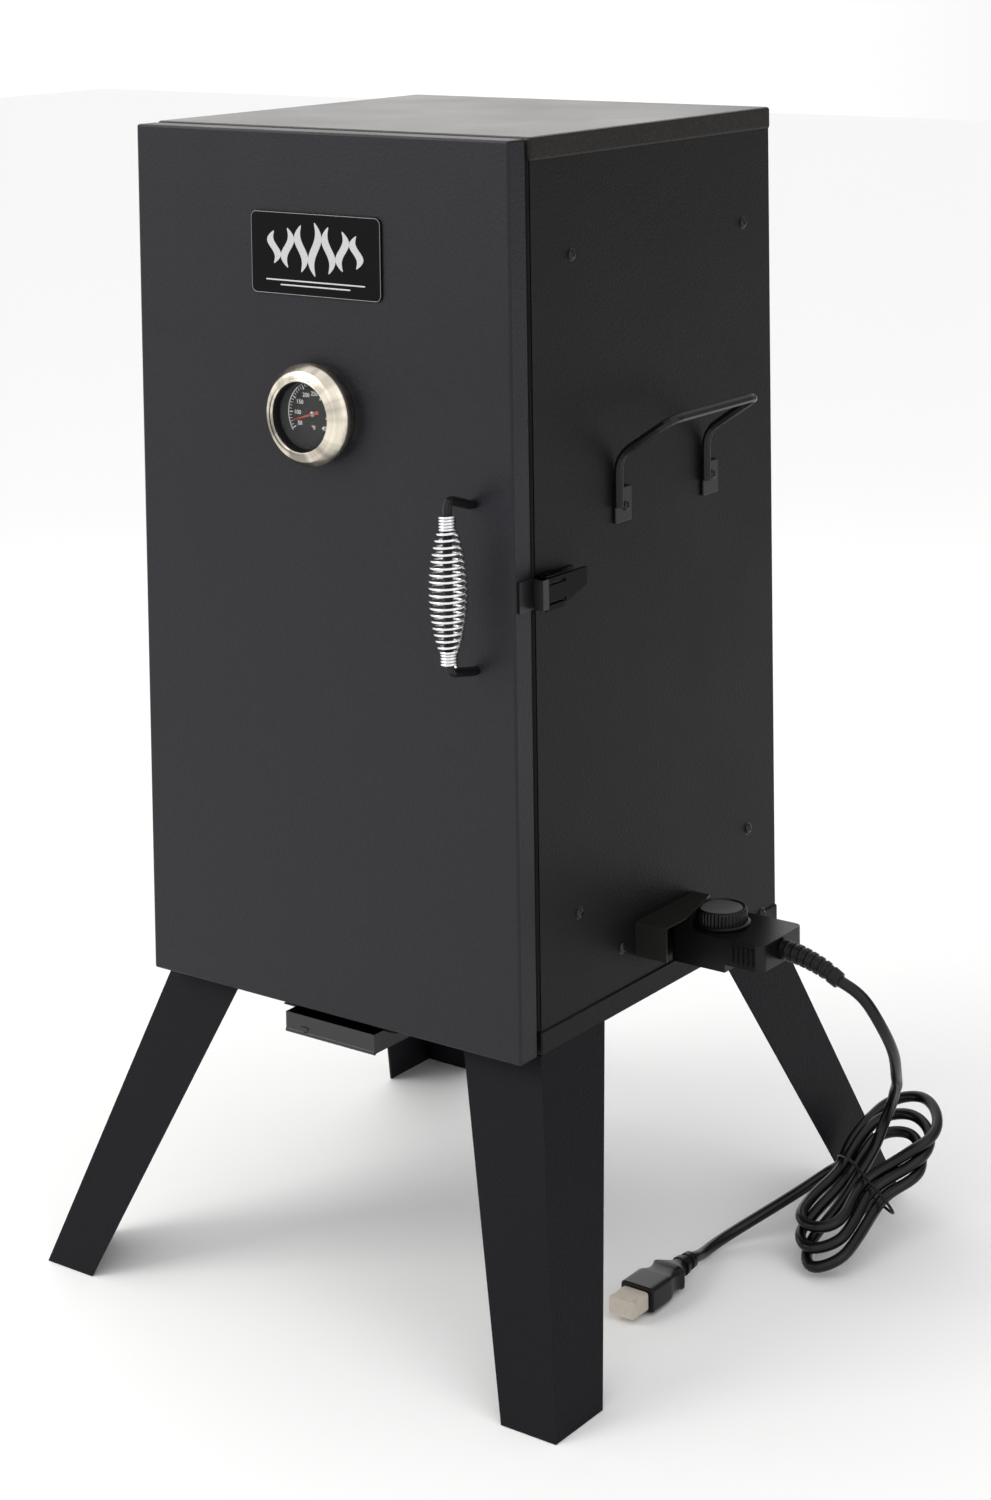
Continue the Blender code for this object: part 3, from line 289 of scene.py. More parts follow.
def turned_metal():
    """Steel turned on a lathe: fine rings about its axis, and painted reflection: wedges of light and dark
    round it, painted into its colour.
    """
    material = surface("Ring metal", (0.6, 0.55, 0.46), 0.22, 1.0, grain=90, spread=0.3, bump=0.06, wear=0.06)
    tree = material.node_tree
    shader = tree.nodes["Principled BSDF"]
    shader.inputs["Anisotropic"].default_value = 0.75
    tangent = add(tree, "ShaderNodeTangent", direction_type="RADIAL", axis="Z")
    tree.links.new(tangent.outputs["Tangent"], shader.inputs["Tangent"])
    place = own_node(material, "ShaderNodeTexCoord")
    fine = own_node(material, "ShaderNodeTexNoise")
    split = add(tree, "ShaderNodeSeparateXYZ")
    tree.links.new(place.outputs["Object"], split.inputs["Vector"])
    reach = add(tree, "ShaderNodeVectorMath", operation="LENGTH")
    flat = add(tree, "ShaderNodeCombineXYZ")
    for axis in ("X", "Y"):
        tree.links.new(split.outputs[axis], flat.inputs[axis])
    tree.links.new(flat.outputs["Vector"], reach.inputs[0])
    rings = add(tree, "ShaderNodeCombineXYZ")
    tree.links.new(reach.outputs["Value"], rings.inputs["X"])
    tree.links.new(split.outputs["Z"], rings.inputs["Y"])
    scaled = add(tree, "ShaderNodeVectorMath", operation="SCALE")
    scaled.inputs["Scale"].default_value = 12
    tree.links.new(rings.outputs["Vector"], scaled.inputs[0])
    tree.links.new(scaled.outputs["Vector"], fine.inputs["Vector"])

    # Painted reflection: light and dark wedges, read from the heading round the axis, scale the colour and
    # stand in for the turned face's reflections
    broad = own_node(material, "ShaderNodeTexNoise", 1)
    broad.inputs["Scale"].default_value = 1.3
    heading = add(tree, "ShaderNodeVectorMath", operation="NORMALIZE")
    tree.links.new(flat.outputs["Vector"], heading.inputs[0])
    tree.links.new(heading.outputs["Vector"], broad.inputs["Vector"])
    painted_reflection_wedges = add(tree, "ShaderNodeMapRange", From_Min=0.4, From_Max=0.6, To_Min=0.45, To_Max=1.3)
    tree.links.new(broad.outputs["Fac"], painted_reflection_wedges.inputs["Value"])
    shade = own_node(material, "ShaderNodeVectorMath")
    painted_wedge_scale = add(tree, "ShaderNodeMath", operation="MULTIPLY")
    tree.links.new(shade.inputs["Scale"].links[0].from_socket, painted_wedge_scale.inputs[0])
    tree.links.new(painted_reflection_wedges.outputs["Result"], painted_wedge_scale.inputs[1])
    tree.links.new(painted_wedge_scale.outputs["Value"], shade.inputs["Scale"])
    return material


def clear_glass():
    """A lens that is almost invisible, with a faint reflection."""
    material = surface("Clear lens", (0.95, 0.97, 0.97), 0.06, grain=60, spread=0.02, bump=0.005, wear=0.03)
    shader = material.node_tree.nodes["Principled BSDF"]
    shader.inputs["Alpha"].default_value = 0.02
    shader.inputs["Specular IOR Level"].default_value = 0.2
    return material


# The material of each CAD node, by how its name starts. The rest take the panel paint.
PAINT_OF = {
    "door paint": ("door_skin",),
    "lid paint": ("top_lid",),
    "guard paint": ("controller_guard",),
    "tray paint": ("drip_tray",),
    "leg paint": ("leg_",),
    "inner paint": (
        "rack_support",
        "water_pan",
        "wood_chip_tray",
        "element_foot",
        "door_liner",
        "front_frame",
    ),
    "rod paint": ("carry_handle", "door_handle_bar", "hinge_leaf"),
    "latch paint": ("latch_base", "latch_lever"),
    "hook paint": ("latch_bail", "latch_keeper"),
    "chrome": ("door_handle_grip", "cooking_grid"),
    "ring metal": ("gauge_ring",),
    "plate black": ("name_plate",),
    "dial black": ("gauge_dial",),
    "pointer red": ("gauge_pointer",),
    "glass": ("gauge_lens",),
    "plastic": ("controller_housing", "terminal_block", "cord_strain_relief", "mains_plug"),
    "knob top": ("controller_knob",),
    "cord": ("cord_drop", "cord_hank", "cord_tail"),
    "sleeve": ("plug_blade_sleeve",),
    "bare steel": ("heating_element", "controller_probe", "gauge_stem", "hinge_pin", "handle_nut"),
    "rope": ("door_gasket",),
}
# Round pieces: these are smoothed, and the others get rounded edges
TURNED_STARTS = ("gauge", "hinge_pin", "cooking_grid", "heating_element", "door_gasket", "controller_probe")


# Smooth shading stops at edges sharper than this, in degrees
CREASE = 38


def paint_frame(materials):
    """Gives each CAD node its material, smooth shading and slightly rounded edges."""
    for name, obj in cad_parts.items():
        chosen = "panel paint"
        for candidate, starts in PAINT_OF.items():
            if name.startswith(starts):
                chosen = candidate
        obj.data.materials.clear()
        obj.data.materials.append(materials[chosen])
        if name.startswith(TURNED_STARTS):
            obj.data.shade_smooth()
            obj.data.set_sharp_from_angle(angle=math.radians(CREASE))
        else:
            bevel = obj.modifiers.new("Edge", "BEVEL")
            bevel.width = 0.4 * MM
            bevel.segments = 2
            bevel.limit_method = "ANGLE"
            bevel.angle_limit = math.radians(40)


# ---------------------------------------------------------------- making pieces


def finish_piece(obj, material, body, crease=CREASE):
    """Shades the piece, gives it its material and lets it ride on its body."""
    obj.data.materials.clear()
    obj.data.materials.append(material)
    if obj.type == "MESH":
        obj.data.shade_smooth()
        obj.data.set_sharp_from_angle(angle=math.radians(crease))
    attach(obj, body)
    return obj


def link(name, data):
    """A new object in the scene."""
    obj = bpy.data.objects.new(name, data)
    bpy.context.scene.collection.objects.link(obj)
    return obj


def from_bmesh(name, shape):
    """A mesh object from a bmesh, with its faces turned outwards."""
    bmesh.ops.recalc_face_normals(shape, faces=shape.faces)
    mesh = bpy.data.meshes.new(name)
    shape.to_mesh(mesh)
    shape.free()
    return link(name, mesh)


def tube(name, points, radius, detail=5, ring=False):
    """A round wire along a line of points."""
    curve = bpy.data.curves.new(name, "CURVE")
    curve.dimensions = "3D"
    curve.bevel_depth = radius
    curve.bevel_resolution = detail
    curve.use_fill_caps = True
    spline = curve.splines.new("POLY")
    spline.points.add(len(points) - 1)
    spline.use_cyclic_u = ring
    for place, point in zip(spline.points, points):
        place.co = (*point, 1)
    return link(name, curve)


def smooth_line(stops, spacing):
    """Points at about equal steps along a smooth curve through the stops."""
    stops = [Vector(stop) for stop in stops]
    padded = [2 * stops[0] - stops[1], *stops, 2 * stops[-1] - stops[-2]]
    points = [stops[0]]
    for a, b, c, d in zip(padded, padded[1:], padded[2:], padded[3:]):
        steps = max(1, round((c - b).length / spacing))
        for step in range(1, steps + 1):
            t = step / steps
            bend = (2 * a - 5 * b + 4 * c - d) * t**2 + (3 * b - a - 3 * c + d) * t**3
            points.append(b + ((c - a) * t + bend) / 2)
    return points


def eased(points, rounds):
    """The same line with its points drawn towards their neighbours, ends kept."""
    for _ in range(rounds):
        inner = [(a + 2 * b + c) / 4 for a, b, c in zip(points, points[1:], points[2:])]
        points = [points[0], *inner, points[-1]]
    return points


def frame_along(centre, axis, across=(0, 0, 1)):
    """The matrix whose local Z points along the axis, with local Y as near as it can be to the other way."""
    z = Vector(axis).normalized()
    x = Vector(across).cross(z).normalized()
    matrix = Matrix((x, z.cross(x), z)).transposed().to_4x4()
    matrix.translation = Vector(centre)
    return matrix


def skin(name, rings, looped=False):
    """A surface through rings of equally many points, with its ends closed or, if looped, joined."""
    shape = bmesh.new()
    rows = [[shape.verts.new(point) for point in ring] for ring in rings]
    following = [*rows[1:], rows[0]] if looped else rows[1:]
    for low, high in zip(rows, following):
        for index in range(len(low)):
            after = (index + 1) % len(low)
            shape.faces.new((low[index], low[after], high[after], high[index]))
    if not looped:
        shape.faces.new(rows[0])
        shape.faces.new(rows[-1])
    return from_bmesh(name, shape)


def round_points(radius, height, sides):
    """Points at equal angles round the local Z."""
    angles = [math.tau * side / sides for side in range(sides)]
    return [Vector((radius * math.cos(angle), radius * math.sin(angle), height)) for angle in angles]


def turned(name, profile, matrix, sides=64, flutes=0, depth=0.0, fluted=()):
    """A turned shape from (radius, height) points. Points whose number is in fluted carry the flutes."""
    rings = []
    for number, (radius, height) in enumerate(profile):
        ring = []
        for side in range(sides):
            angle = math.tau * side / sides
            reach = radius
            if number in fluted:
                reach -= depth * (0.5 - 0.5 * math.cos(flutes * angle)) ** 2
            ring.append(matrix @ Vector((reach * math.cos(angle), reach * math.sin(angle), height)))
        rings.append(ring)
    return skin(name, rings)


def turned_ring(name, profile, matrix, sides):
    """A ring from a closed run of (radius, height) points, with its own axis as its local Z."""
    obj = skin(name, [round_points(radius, height, sides) for radius, height in profile], looped=True)
    obj.matrix_world = matrix
    return obj


def rounded_outline(width, height, radius, steps):
    """The points of a rectangle with round corners."""
    points = []
    for quarter, (side, up) in enumerate(((1, 1), (-1, 1), (-1, -1), (1, -1))):
        for step in range(steps + 1):
            angle = math.radians(90) * (quarter + step / steps)
            x = side * (width / 2 - radius) + radius * math.cos(angle)
            y = up * (height / 2 - radius) + radius * math.sin(angle)
            points.append((x, y))
    return points


def layered(name, layers, matrix):
    """A solid through outlines of equal length, each a list of (x, y) points at its own height."""
    return skin(name, [[matrix @ Vector((x, y, height)) for x, y in outline] for outline, height in layers])


def join(name, parts):
    """One mesh object from several objects of any kind."""
    bpy.context.view_layer.update()
    graph = bpy.context.evaluated_depsgraph_get()
    shape = bmesh.new()
    for part in parts:
        mesh = bpy.data.meshes.new_from_object(part.evaluated_get(graph))
        mesh.transform(part.matrix_world)
        shape.from_mesh(mesh)
        bpy.data.meshes.remove(mesh)
    for part in parts:
        bpy.data.objects.remove(part)
    return from_bmesh(name, shape)


# ---------------------------------------------------------------- the cord and what is on it

CORD = 10 * MM
RELIEF_START = at(301.3, 253.5, 309)
RELIEF_END = at(358, 253, 292)
PLUG_NECK = at(211, 240, 13)
HANK_FOOT = at(292, 298, 11)
HANK_TILT = math.radians(24.5)
HANK_TURN = math.radians(80)


def hank_point(along, across, out):
    """A place in the tied bundle in millimetres: along it from its foot, across it and out of it."""
    level = Vector((math.cos(HANK_TURN), math.sin(HANK_TURN), 0))
    rise = level * math.cos(HANK_TILT) + Vector((0, 0, math.sin(HANK_TILT)))
    side = Vector((0, 0, 1)).cross(level)
    return HANK_FOOT + (rise * along + side * across + rise.cross(side) * out) * MM


# Stops of the cord: its drop, as at() takes them
DROP_STOPS = [
    (380, 256, 280),
    (391, 268, 252),
    (388, 292, 222),
    (374, 322, 190),
    (356, 356, 166),
    (336, 388, 144),
    (320, 412, 121),
    (309, 417, 99),
]

# Its folded runs, as hank_point() takes them
HANK_STOPS = [
    (128, 6, 16),
    (95, 5, 9),
    (60, 6, 2),
    (35, 9, -1),
    (12, 6, -2),
    (-3, -10, -2),
    (17, -29, -2),
    (45, -29, -2),
    (95, -23, -2),
    (127, -34, -4),
    (150, -26, -3),
    (168, -2, 0),
    (154, 22, 3),
    (125, 21, 5),
    (95, 17, 5),
    (50, 19, 6),
    (22, 18, 7),
    (8, -2, 7),
    (30, -22, 5),
    (60, -18, 5),
    (95, -14, 5),
    (145, -33, 5),
    (171, -23, 6),
    (182, 5, 8),
    (165, 30, 9),
    (130, 32, 9),
    (95, 27, 8),
    (55, 29, 11),
    (27, 18, 15),
    (28, -6, 15),
    (50, -14, 11),
    (95, -4, 9),
    (155, -34, 13),
    (187, -22, 12),
    (203, 8, 10),
    (185, 36, 8),
    (137, 41, 6),
    (107, 33, 4),
]

# Its end on the floor, as at() takes them
TAIL_STOPS = [
    (264, 402, 50),
    (249, 373, 38),
    (233, 352, 26),
    (216, 322, 14),
    (206, 293, 7),
    (207, 262, 7),
]


def cord_route():
    """The line of the cord, from its strain relief through the tied bundle to the plug."""
    down = (RELIEF_END - RELIEF_START).normalized()
    stops = [RELIEF_END, RELIEF_END + down * 10 * MM]
    stops += [at(*stop) for stop in DROP_STOPS]
    stops += [hank_point(*stop) for stop in HANK_STOPS]
    stops += [at(*stop) for stop in TAIL_STOPS]
    stops += [PLUG_NECK + Vector((0, 8 * MM, 0)), PLUG_NECK]
    return pushed_apart(eased(smooth_line(stops, 4 * MM), 6))


def pushed_apart(points):
    """The same line, moved a little where it would lie in itself or in the floor. Its ends stay."""
    near = 8
    kept = 30
    clearance = CORD * 1.01
    lowest = CORD / 2 + 0.3 * MM
    places = np.array([tuple(point) for point in points])
    numbers = np.arange(len(places))
    elsewhere = np.abs(numbers[:, None] - numbers[None, :]) > near
    for _ in range(80):
        away = places[:, None] - places[None, :]
        apart = np.linalg.norm(away, axis=2)
        close = elsewhere & (apart < clearance)
        share = np.where(close, (clearance - apart) / np.maximum(apart, MM), 0)
        move = (away * share[..., None]).sum(axis=1) / np.maximum(close.sum(axis=1), 1)[:, None]
        for _ in range(3):
            move[1:-1] = (move[:-2] + 2 * move[1:-1] + move[2:]) / 4
        move[:kept] = 0
        move[-kept:] = 0
        places += 0.4 * move
        places[:, 2] = np.maximum(places[:, 2], lowest)
    return eased([Vector(place) for place in places], 2)


def line_length(points):
    """The length of a line of points."""
    return sum((b - a).length for a, b in zip(points, points[1:]))


def make_cord(materials):
    """The whole cord as one line, which stands for its three CAD solids."""
    cord = tube("cord_line", cord_route(), CORD / 2, 7)
    finish_piece(cord, materials["cord"], "controller")
    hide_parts("cord_drop", "cord_hank", "cord_tail")


def lofted(name, points, sections, sides=32):
    """A skin through sections of (half width, half height, squareness). Squareness 2 is an ellipse."""
    rings = []
    for number, (point, (wide, high, power)) in enumerate(zip(points, sections)):
        before = points[max(0, number - 1)]
        after = points[min(len(points) - 1, number + 1)]
        onward = (after - before).normalized()
        across = Vector((0, 0, 1)).cross(onward).normalized()
        up = onward.cross(across)
        ring = []
        for side in range(sides):
            angle = math.tau * side / sides
            c = math.cos(angle)
            s = math.sin(angle)
            x = wide * math.copysign(abs(c) ** (2 / power), c)
            y = high * math.copysign(abs(s) ** (2 / power), s)
            ring.append(point + across * x + up * y)
        rings.append(ring)
    return skin(name, rings)


def along_line(points, share):
    """The place at a share of the line's length."""
    goal = share * line_length(points)
    for a, b in zip(points, points[1:]):
        step = (b - a).length
        if goal <= step:
            return a.lerp(b, goal / step)
        goal -= step
    return points[-1]


def make_strain_relief(materials):
    """A tapered sleeve with rings, wide where it leaves the housing and tight on the cord at its end."""
    stops = [
        RELIEF_START,
        RELIEF_START + Vector((20, 0, -3)) * MM,
        RELIEF_END - Vector((16, 0, -8)) * MM,
        RELIEF_END,
    ]
    line = smooth_line(stops, 2 * MM)
    # Each point is a share of the sleeve's length and a radius in millimetres
    profile = [(0.0, 9.4), (0.07, 9.4), (0.08, 7.8), (0.11, 7.7)]
    rings = 6
    ring_step = 0.115
    for ring in range(rings):
        start = 0.12 + ring_step * ring
        reach = 9.0 - 0.22 * ring
        core = 7.6 - 0.16 * ring
        profile += [(start, core), (start + 0.01, reach), (start + 0.068, reach - 0.1), (start + 0.078, core)]
    profile += [(0.83, 6.7), (0.84, 7.6), (0.985, 7.3), (1.0, 6.2)]
    points = [along_line(line, share) for share, _ in profile]
    relief = lofted("strain_relief", points, [(r * MM, r * MM, 2) for _, r in profile], 40)
    finish_piece(relief, materials["plastic"], "controller", 30)
    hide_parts("cord_strain_relief")
    return relief


# Distance from the plug's neck in millimetres, half width, half height and squareness
PLUG_SECTIONS = [
    (-1.5, 6.2, 6.2, 2.0),
    (-0.5, 7.6, 7.4, 2.1),
    (5, 7.8, 7.6, 2.1),
    (5.6, 6.4, 6.4, 2.1),
    (10.6, 6.8, 6.6, 2.1),
    (11.2, 8.8, 8.2, 2.2),
    (16, 9.2, 8.4, 2.2),
    (16.6, 7.4, 7.2, 2.3),
    (22, 8.2, 7.6, 2.6),
    (28, 11.6, 9.4, 3.2),
    (33, 15.4, 10.6, 4.4),
    (35, 16.4, 10.8, 5.0),
    (39, 15.0, 9.8, 5.0),
    (44, 14.2, 9.2, 5.0),
    (49, 14.6, 9.4, 5.5),
    (55, 16.6, 10.6, 7.0),
    (58, 17.0, 11.0, 8.0),
    (84.4, 17.0, 11.0, 8.0),
    (85.4, 16.4, 10.4, 7.0),
    (85.7, 15.6, 9.6, 6.0),
]


def make_plug(materials):
    """A moulded plug with a notched neck, a waist for the fingers and a flat front."""
    points = [PLUG_NECK - Vector((0, y * MM, 0)) for y, *_ in PLUG_SECTIONS]
    sections = [(wide * MM, high * MM, power) for _, wide, high, power in PLUG_SECTIONS]
    plug = lofted("plug_body", points, sections, 48)
    finish_piece(plug, materials["plastic"], "controller", 24)
    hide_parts("mains_plug")

    low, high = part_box("plug_blade_sleeve")
    middle = (low + high) / 2
    half = (high - low) / 2
    front = high.y - 0.4 * MM
    # Each section is a share of the sleeve's length and of its full width, with one shallow groove
    sleeve_sections = [(0.0, 0.95), (0.04, 1.0), (0.55, 1.0), (0.58, 0.95)]
    sleeve_sections += [(0.62, 0.95), (0.65, 1.0), (0.97, 1.0), (1.0, 0.96)]
    points = [Vector((middle.x, front - share * (front - low.y), middle.z)) for share, _ in sleeve_sections]
    sections = [(half.x * fill, half.z * fill, 9) for _, fill in sleeve_sections]
    sleeve = lofted("blade_sleeve", points, sections, 48)
    finish_piece(sleeve, materials["sleeve"], "controller", 24)
    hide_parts("plug_blade_sleeve")
    return [plug, sleeve]


def make_tie(materials):
    """The plastic-covered wire that holds the bundle."""
    loop = [
        (109, 38, 4),
        (106, 31, 16),
        (99, 10, 23),
        (91, -12, 17),
        (85, -34, 6),
        (86, -36, -8),
        (97, 0, -9),
        (107, 32, -7),
    ]
    places = [hank_point(*stop) for stop in loop]
    line = smooth_line([places[-1], *places, places[0], places[1]], 3 * MM)
    start, end = [number for number, point in enumerate(line) if (point - places[0]).length < 0.01 * MM]
    tie = tube("tie_loop", line[start:end], 1.3 * MM, 4, ring=True)
    finish_piece(tie, materials["plastic"], "controller")
    return [tie]


# ---------------------------------------------------------------- the gauge and the name plate

GAUGE_X = (GAUGE_LOW.x + GAUGE_HIGH.x) / 2
GAUGE_Z = (GAUGE_LOW.z + GAUGE_HIGH.z) / 2
DIAL_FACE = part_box("gauge_dial")[0].y


def gauge_place(radius, angle, out):
    """A place by the dial: radius in millimetres, angle in degrees from the right, millimetres out of it."""
    turn = math.radians(angle)
    x = GAUGE_X + radius * MM * math.cos(turn)
    z = GAUGE_Z + radius * MM * math.sin(turn)
    return Vector((x, DIAL_FACE - out * MM, z))


def flat_piece(name, outline, thickness, matrix):
    """A plate of one outline."""
    return layered(name, [(outline, 0), (outline, thickness)], matrix)


def dial_text(text, radius, angle, size):
    """A raised label that stands upright on the dial."""
    curve = bpy.data.curves.new("label", "FONT")
    curve.body = text
    curve.size = size * MM
    curve.align_x = "CENTER"
    curve.align_y = "CENTER"
    curve.extrude = 0.1 * MM
    curve.resolution_u = 3
    obj = link("label", curve)
    facing_out = Matrix(((1, 0, 0), (0, 0, -1), (0, 1, 0))).to_4x4()
    facing_out.translation = gauge_place(radius, angle, 0.15)
    obj.matrix_world = facing_out
    return obj


# The angle of the first number and the step to the next one, in degrees, and the ticks in each step
FIRST_MARK = 211
MARK_STEP = 31.5
TICKS_EACH = 5


def make_dial(materials):
    """The printed marks: numbers in steps of 50, ticks in steps of 10, the unit and an arc."""
    marks = []
    numbers = range(50, 451, 50)
    for place, number in enumerate(numbers):
        marks.append(dial_text(str(number), 17.4, FIRST_MARK - MARK_STEP * place, 5.2))
    marks.append(dial_text("°F", 12, 270, 5))
    for tick in range(TICKS_EACH * (len(numbers) - 1) + 1):
        angle = FIRST_MARK - MARK_STEP * tick / TICKS_EACH
        long_tick = tick % TICKS_EACH == 0
        inner = gauge_place(22.6 if long_tick else 24, angle, 0)
        outer = gauge_place(26.2, angle, 0)
        matrix = frame_along(inner, (outer - inner), (0, -1, 0))
        wide = (0.8 if long_tick else 0.45) * MM
        under = -0.1 * MM
        over = 0.25 * MM
        outline = [(-wide / 2, under), (wide / 2, under), (wide / 2, over), (-wide / 2, over)]
        marks.append(flat_piece("tick", outline, (outer - inner).length, matrix))
    for radius, wide, first, last in ((27.3, 0.8, 128, 214), (27.3, 0.35, -42, 128)):
        points = [gauge_place(radius, first + (last - first) * step / 40, 0.05) for step in range(41)]
        marks.append(tube("arc", points, wide / 2 * MM, 2))
    dial = join("dial_marks", marks)
    finish_piece(dial, materials["dial white"], "door")


def make_gauge_ring(materials):
    """The pressed ring: a deep throat, a lip, a sloping face, a ridge and a steeper rim."""
    profile = [
        (29.7, 0.4),
        (29.7, 24.2),
        (30.2, 25.3),
        (31.0, 25.6),
        (31.8, 25.4),
        (32.4, 24.6),
        (37.6, 22.4),
        (38.4, 22.2),
        (39.0, 21.6),
        (43.4, 15.6),
        (44.2, 14.0),
        (44.5, 12.0),
        (44.4, 9.8),
        (43.6, 8.2),
        (42.0, 7.2),
        (40.0, 6.7),
        (39.6, 0.2),
    ]
    out = frame_along((GAUGE_X, GAUGE_HIGH.y, GAUGE_Z), (0, -1, 0))
    ring = turned_ring("ring_shell", [(r * MM, h * MM) for r, h in profile], out, 128)
    finish_piece(ring, materials["ring metal"], "door", 50)
    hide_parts("gauge_ring")

    throat = [(29.4, 0.6), (29.4, 23.6), (28.6, 22.6), (28.2, 6.6), (28.6, 0.6)]
    bezel = turned_ring("dial_bezel", [(r * MM, h * MM) for r, h in throat], out, 96)
    finish_piece(bezel, materials["dial black"], "door", 40)


def make_pointer(materials):
    """The red hand, its counterweight and the brass cap over its pivot."""
    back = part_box("gauge_pointer")[1].y
    centre = Vector((GAUGE_X, back - 0.2 * MM, GAUGE_Z))
    rest = math.radians(197)
    long_way = Vector((math.cos(rest), 0, math.sin(rest)))
    matrix = frame_along(centre, (0, -1, 0), (0, 0, 1))
    along = matrix.inverted().to_3x3() @ long_way
    turn = math.atan2(along.y, along.x)
    half = [(-6.5, 1.7), (-2.5, 1.1), (21.6, 0.35), (22.2, 0)]
    outline = [(x, -y) for x, y in half] + half[-2::-1]
    turned_outline = []
    for x, y in outline:
        across_x = x * math.cos(turn) - y * math.sin(turn)
        across_y = x * math.sin(turn) + y * math.cos(turn)
        turned_outline.append((across_x * MM, across_y * MM))
    hand = layered("pointer_hand", [(turned_outline, 0.2 * MM), (turned_outline, 0.8 * MM)], matrix)
    finish_piece(hand, materials["pointer red"], "gauge_hand")
    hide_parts("gauge_pointer")
    dome = [(2.9, 0), (2.9, 1.4), (2.2, 2.1), (0.7, 2.3)]
    cap = turned("pointer_cap", [(r * MM, h * MM) for r, h in dome], matrix, 32)
    finish_piece(cap, materials["ring metal"], "gauge_hand")


def make_plate_border(materials):
    """The thin line round the name plate, and a plain raised ornament: wisps over two rules."""
    middle = (PLATE_LOW + PLATE_HIGH) / 2
    middle.y = PLATE_LOW.y
    inset = 1.4 * MM
    width = PLATE_HIGH.x - PLATE_LOW.x - inset
    height = PLATE_HIGH.z - PLATE_LOW.z - inset
    outline = rounded_outline(width, height, 5.4 * MM, 8)
    rim = tube("plate_rim", [middle + Vector((x, 0, z)) for x, z in outline], 0.35 * MM, 3, ring=True)
    finish_piece(rim, materials["plate edge"], "door")

    strokes = []
    steps = 32
    spacing = 15
    for number in range(-3, 4):
        tall = 23 - 3 * abs(number)
        left = []
        right = []
        for step in range(steps + 1):
            share = step / steps
            sway = 4 * math.sin(math.tau * share) * (1 if number % 2 else -1)
            half = 4.2 * math.sin(math.pi * share) ** 0.7 + 0.15
            z = -tall + 2 * tall * share + 5
            left.append(((spacing * number + sway - half) * MM, z * MM))
            right.append(((spacing * number + sway + half) * MM, z * MM))
        place = frame_along(middle + Vector((0, 0.1 * MM, 0)), (0, -1, 0))
        strokes.append(flat_piece("wisp", right + left[::-1], 0.4 * MM, place))
    for wide, z in ((54, -23), (38, -27)):
        ends = [middle + Vector((x * MM, 0, z * MM)) for x in (-wide, wide)]
        strokes.append(tube("rule", ends, 0.7 * MM, 3))
    ornament = join("plate_ornament", strokes)
    finish_piece(ornament, materials["plate print"], "door")


# ---------------------------------------------------------------- the handle, the knob and the small hardware


def make_spring(materials):
    """The barrel-shaped spring round the handle bar, with its end turns wound close together."""
    low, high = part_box("door_handle_grip")
    centre = (low + high) / 2
    wire = 1.15 * MM
    end_reach = 6.3 * MM
    middle_reach = (high.x - low.x) / 2 - wire
    close_turns = 4.5
    open_turns = 19
    turns = open_turns + 2 * close_turns
    steps = 28
    count = round(turns * steps)
    heights = [0.0]
    shares = [0.0]
    for step in range(count):
        turn = step / steps
        inward = min(turn, turns - turn) - close_turns
        opening = min(1.0, max(0.0, inward / 1.2))
        heights.append(heights[-1] + (1 + 1.2 * opening) / steps)
        shares.append(min(1.0, max(0.0, (turn + 1 / steps - close_turns) / open_turns)))
    scale = (high.z - low.z - 2 * wire) / heights[-1]
    points = []
    for step, (height, share) in enumerate(zip(heights, shares)):
        angle = math.tau * step / steps
        reach = end_reach + (middle_reach - end_reach) * math.sin(math.pi * share) ** 0.75
        x = centre.x + reach * math.cos(angle)
        y = centre.y + reach * math.sin(angle)
        points.append(Vector((x, y, low.z + wire + scale * height)))
    spring = tube("handle_spring", points, wire, 4)
    finish_piece(spring, materials["chrome"], "door")
    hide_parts("door_handle_grip")


def screw_head(place, out, radius, height):
    """A pan head with a crossed recess, standing on a surface."""
    matrix = frame_along(place, out, (0, 0, 1) if abs(out[2]) < 0.5 else (0, 1, 0))
    profile = [(1.0, 0), (1.0, 0.25), (0.93, 0.6), (0.72, 0.88), (0.42, 1.0), (0.38, 0.72), (0.05, 0.6)]
    head = turned("screw", [(radius * r, height * h) for r, h in profile], matrix, 28)
    flat_ring = [(1.25, 0), (1.25, 0.12), (0.9, 0.16)]
    washer = turned("washer", [(radius * r, height * h) for r, h in flat_ring], matrix, 28)
    return [head, washer]


# Screws on the sides as (y, z) and on the back as (x, z), in millimetres as at() takes them
SIDE_SCREWS = [(87, 926), (358, 926), (86, 370), (357, 370), (150, 321), (380, 284)]
HANDLE_SCREWS = [(160, 703), (298, 707)]
BACK_SCREWS = [(x, z) for x in (-188, 188) for z in (330, 560, 790, 985)]


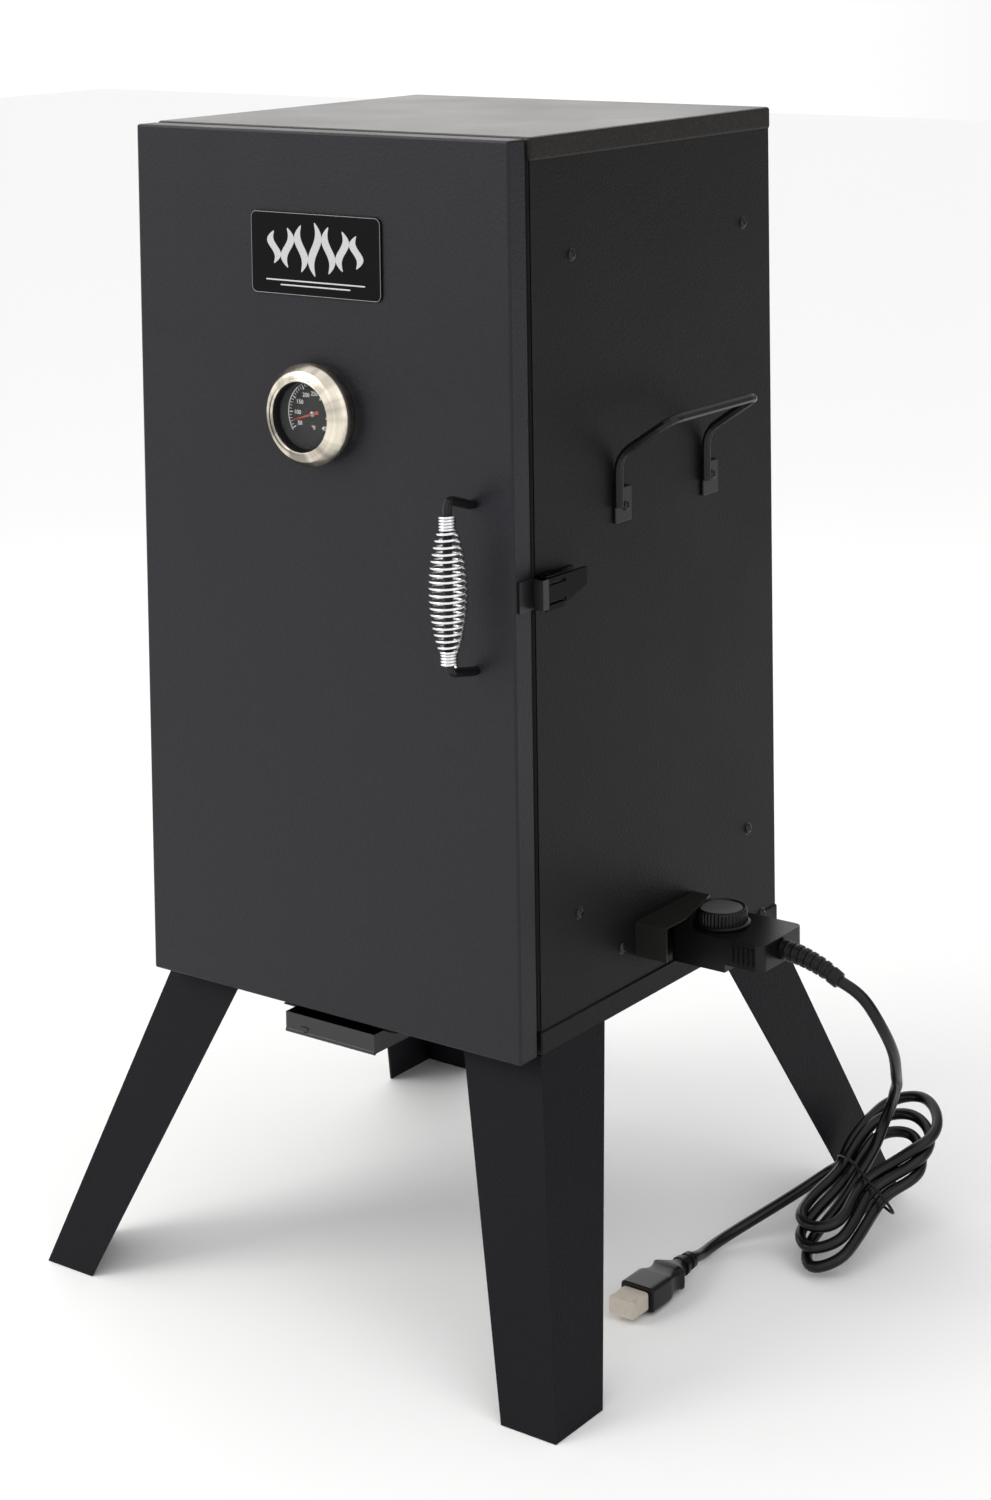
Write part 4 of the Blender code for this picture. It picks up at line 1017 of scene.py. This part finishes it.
def make_screws(materials):
    """The screws of both sides, of the carrying handles' tabs and of the back."""
    for side, name in ((-1, "left"), (1, "right")):
        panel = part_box("side_panel_" + name)
        face = panel[1].x if side > 0 else panel[0].x
        tab_face = face + side * 2.8 * MM
        rows = (
            ("side_screws_", SIDE_SCREWS, face, 4.6, "black_steel"),
            ("handle_screws_", HANDLE_SCREWS, tab_face, 4.2, "black_rod"),
        )
        for start, places, x, radius, slot in rows:
            heads = []
            for y, z in places:
                place = at(0, y, z)
                place.x = x
                heads += screw_head(place, (side, 0, 0), radius * MM, 2.4 * MM)
            screws = join(start + name, heads)
            finish_piece(screws, materials["screw"], "cabinet")

    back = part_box("back_panel")[1].y
    heads = []
    for x, z in BACK_SCREWS:
        place = at(x, 0, z)
        place.y = back
        heads += screw_head(place, (0, 1, 0), 4 * MM, 2.2 * MM)
    screws = join("back_screws", heads)
    finish_piece(screws, materials["screw"], "cabinet")


def make_knob(materials):
    """The dial of the controller: a skirt, a finely ridged wall and a paler flat top inside a ring."""
    low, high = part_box("controller_knob")
    centre = (low + high) / 2
    centre.z = low.z
    matrix = Matrix.Translation(centre)
    top = (high.z - low.z) / MM
    skirt = (high.x - low.x) / 2 / MM
    profile = [
        (skirt - 1.6, 0),
        (skirt - 0.6, 0.6),
        (skirt - 0.6, 2),
        (skirt - 1.6, 2.8),
        (23.0, 3.2),
        (22.8, top - 3),
        (22.2, top - 1.2),
        (21.4, top - 0.2),
        (20.6, top),
        (19.4, top),
        (18.9, top - 0.7),
        (18.7, top - 1.4),
    ]
    wall_points = [(r * MM, h * MM) for r, h in profile]
    wall = turned("knob_wall", wall_points, matrix, sides=240, flutes=40, depth=0.9 * MM, fluted=(4, 5, 6))
    finish_piece(wall, materials["plastic"], "knob", 40)
    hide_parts("controller_knob")
    disc = [(18.6, top - 1.6), (18.6, top - 0.9), (18.0, top - 0.6), (3, top - 0.5)]
    face = turned("knob_face", [(r * MM, h * MM) for r, h in disc], matrix, 96)
    finish_piece(face, materials["knob top"], "knob")


# ---------------------------------------------------------------- the scene


def main():
    """Everything, in order: the cord's pieces come before the cord."""
    set_camera()
    set_light()
    set_floor()
    materials = make_materials()
    plug_pieces = make_plug(materials)
    tie_pieces = make_tie(materials)
    make_cord(materials)
    make_strain_relief(materials)
    paint_frame(materials)
    make_gauge_ring(materials)
    make_dial(materials)
    make_pointer(materials)
    make_plate_border(materials)
    make_spring(materials)
    make_screws(materials)
    make_knob(materials)


main()
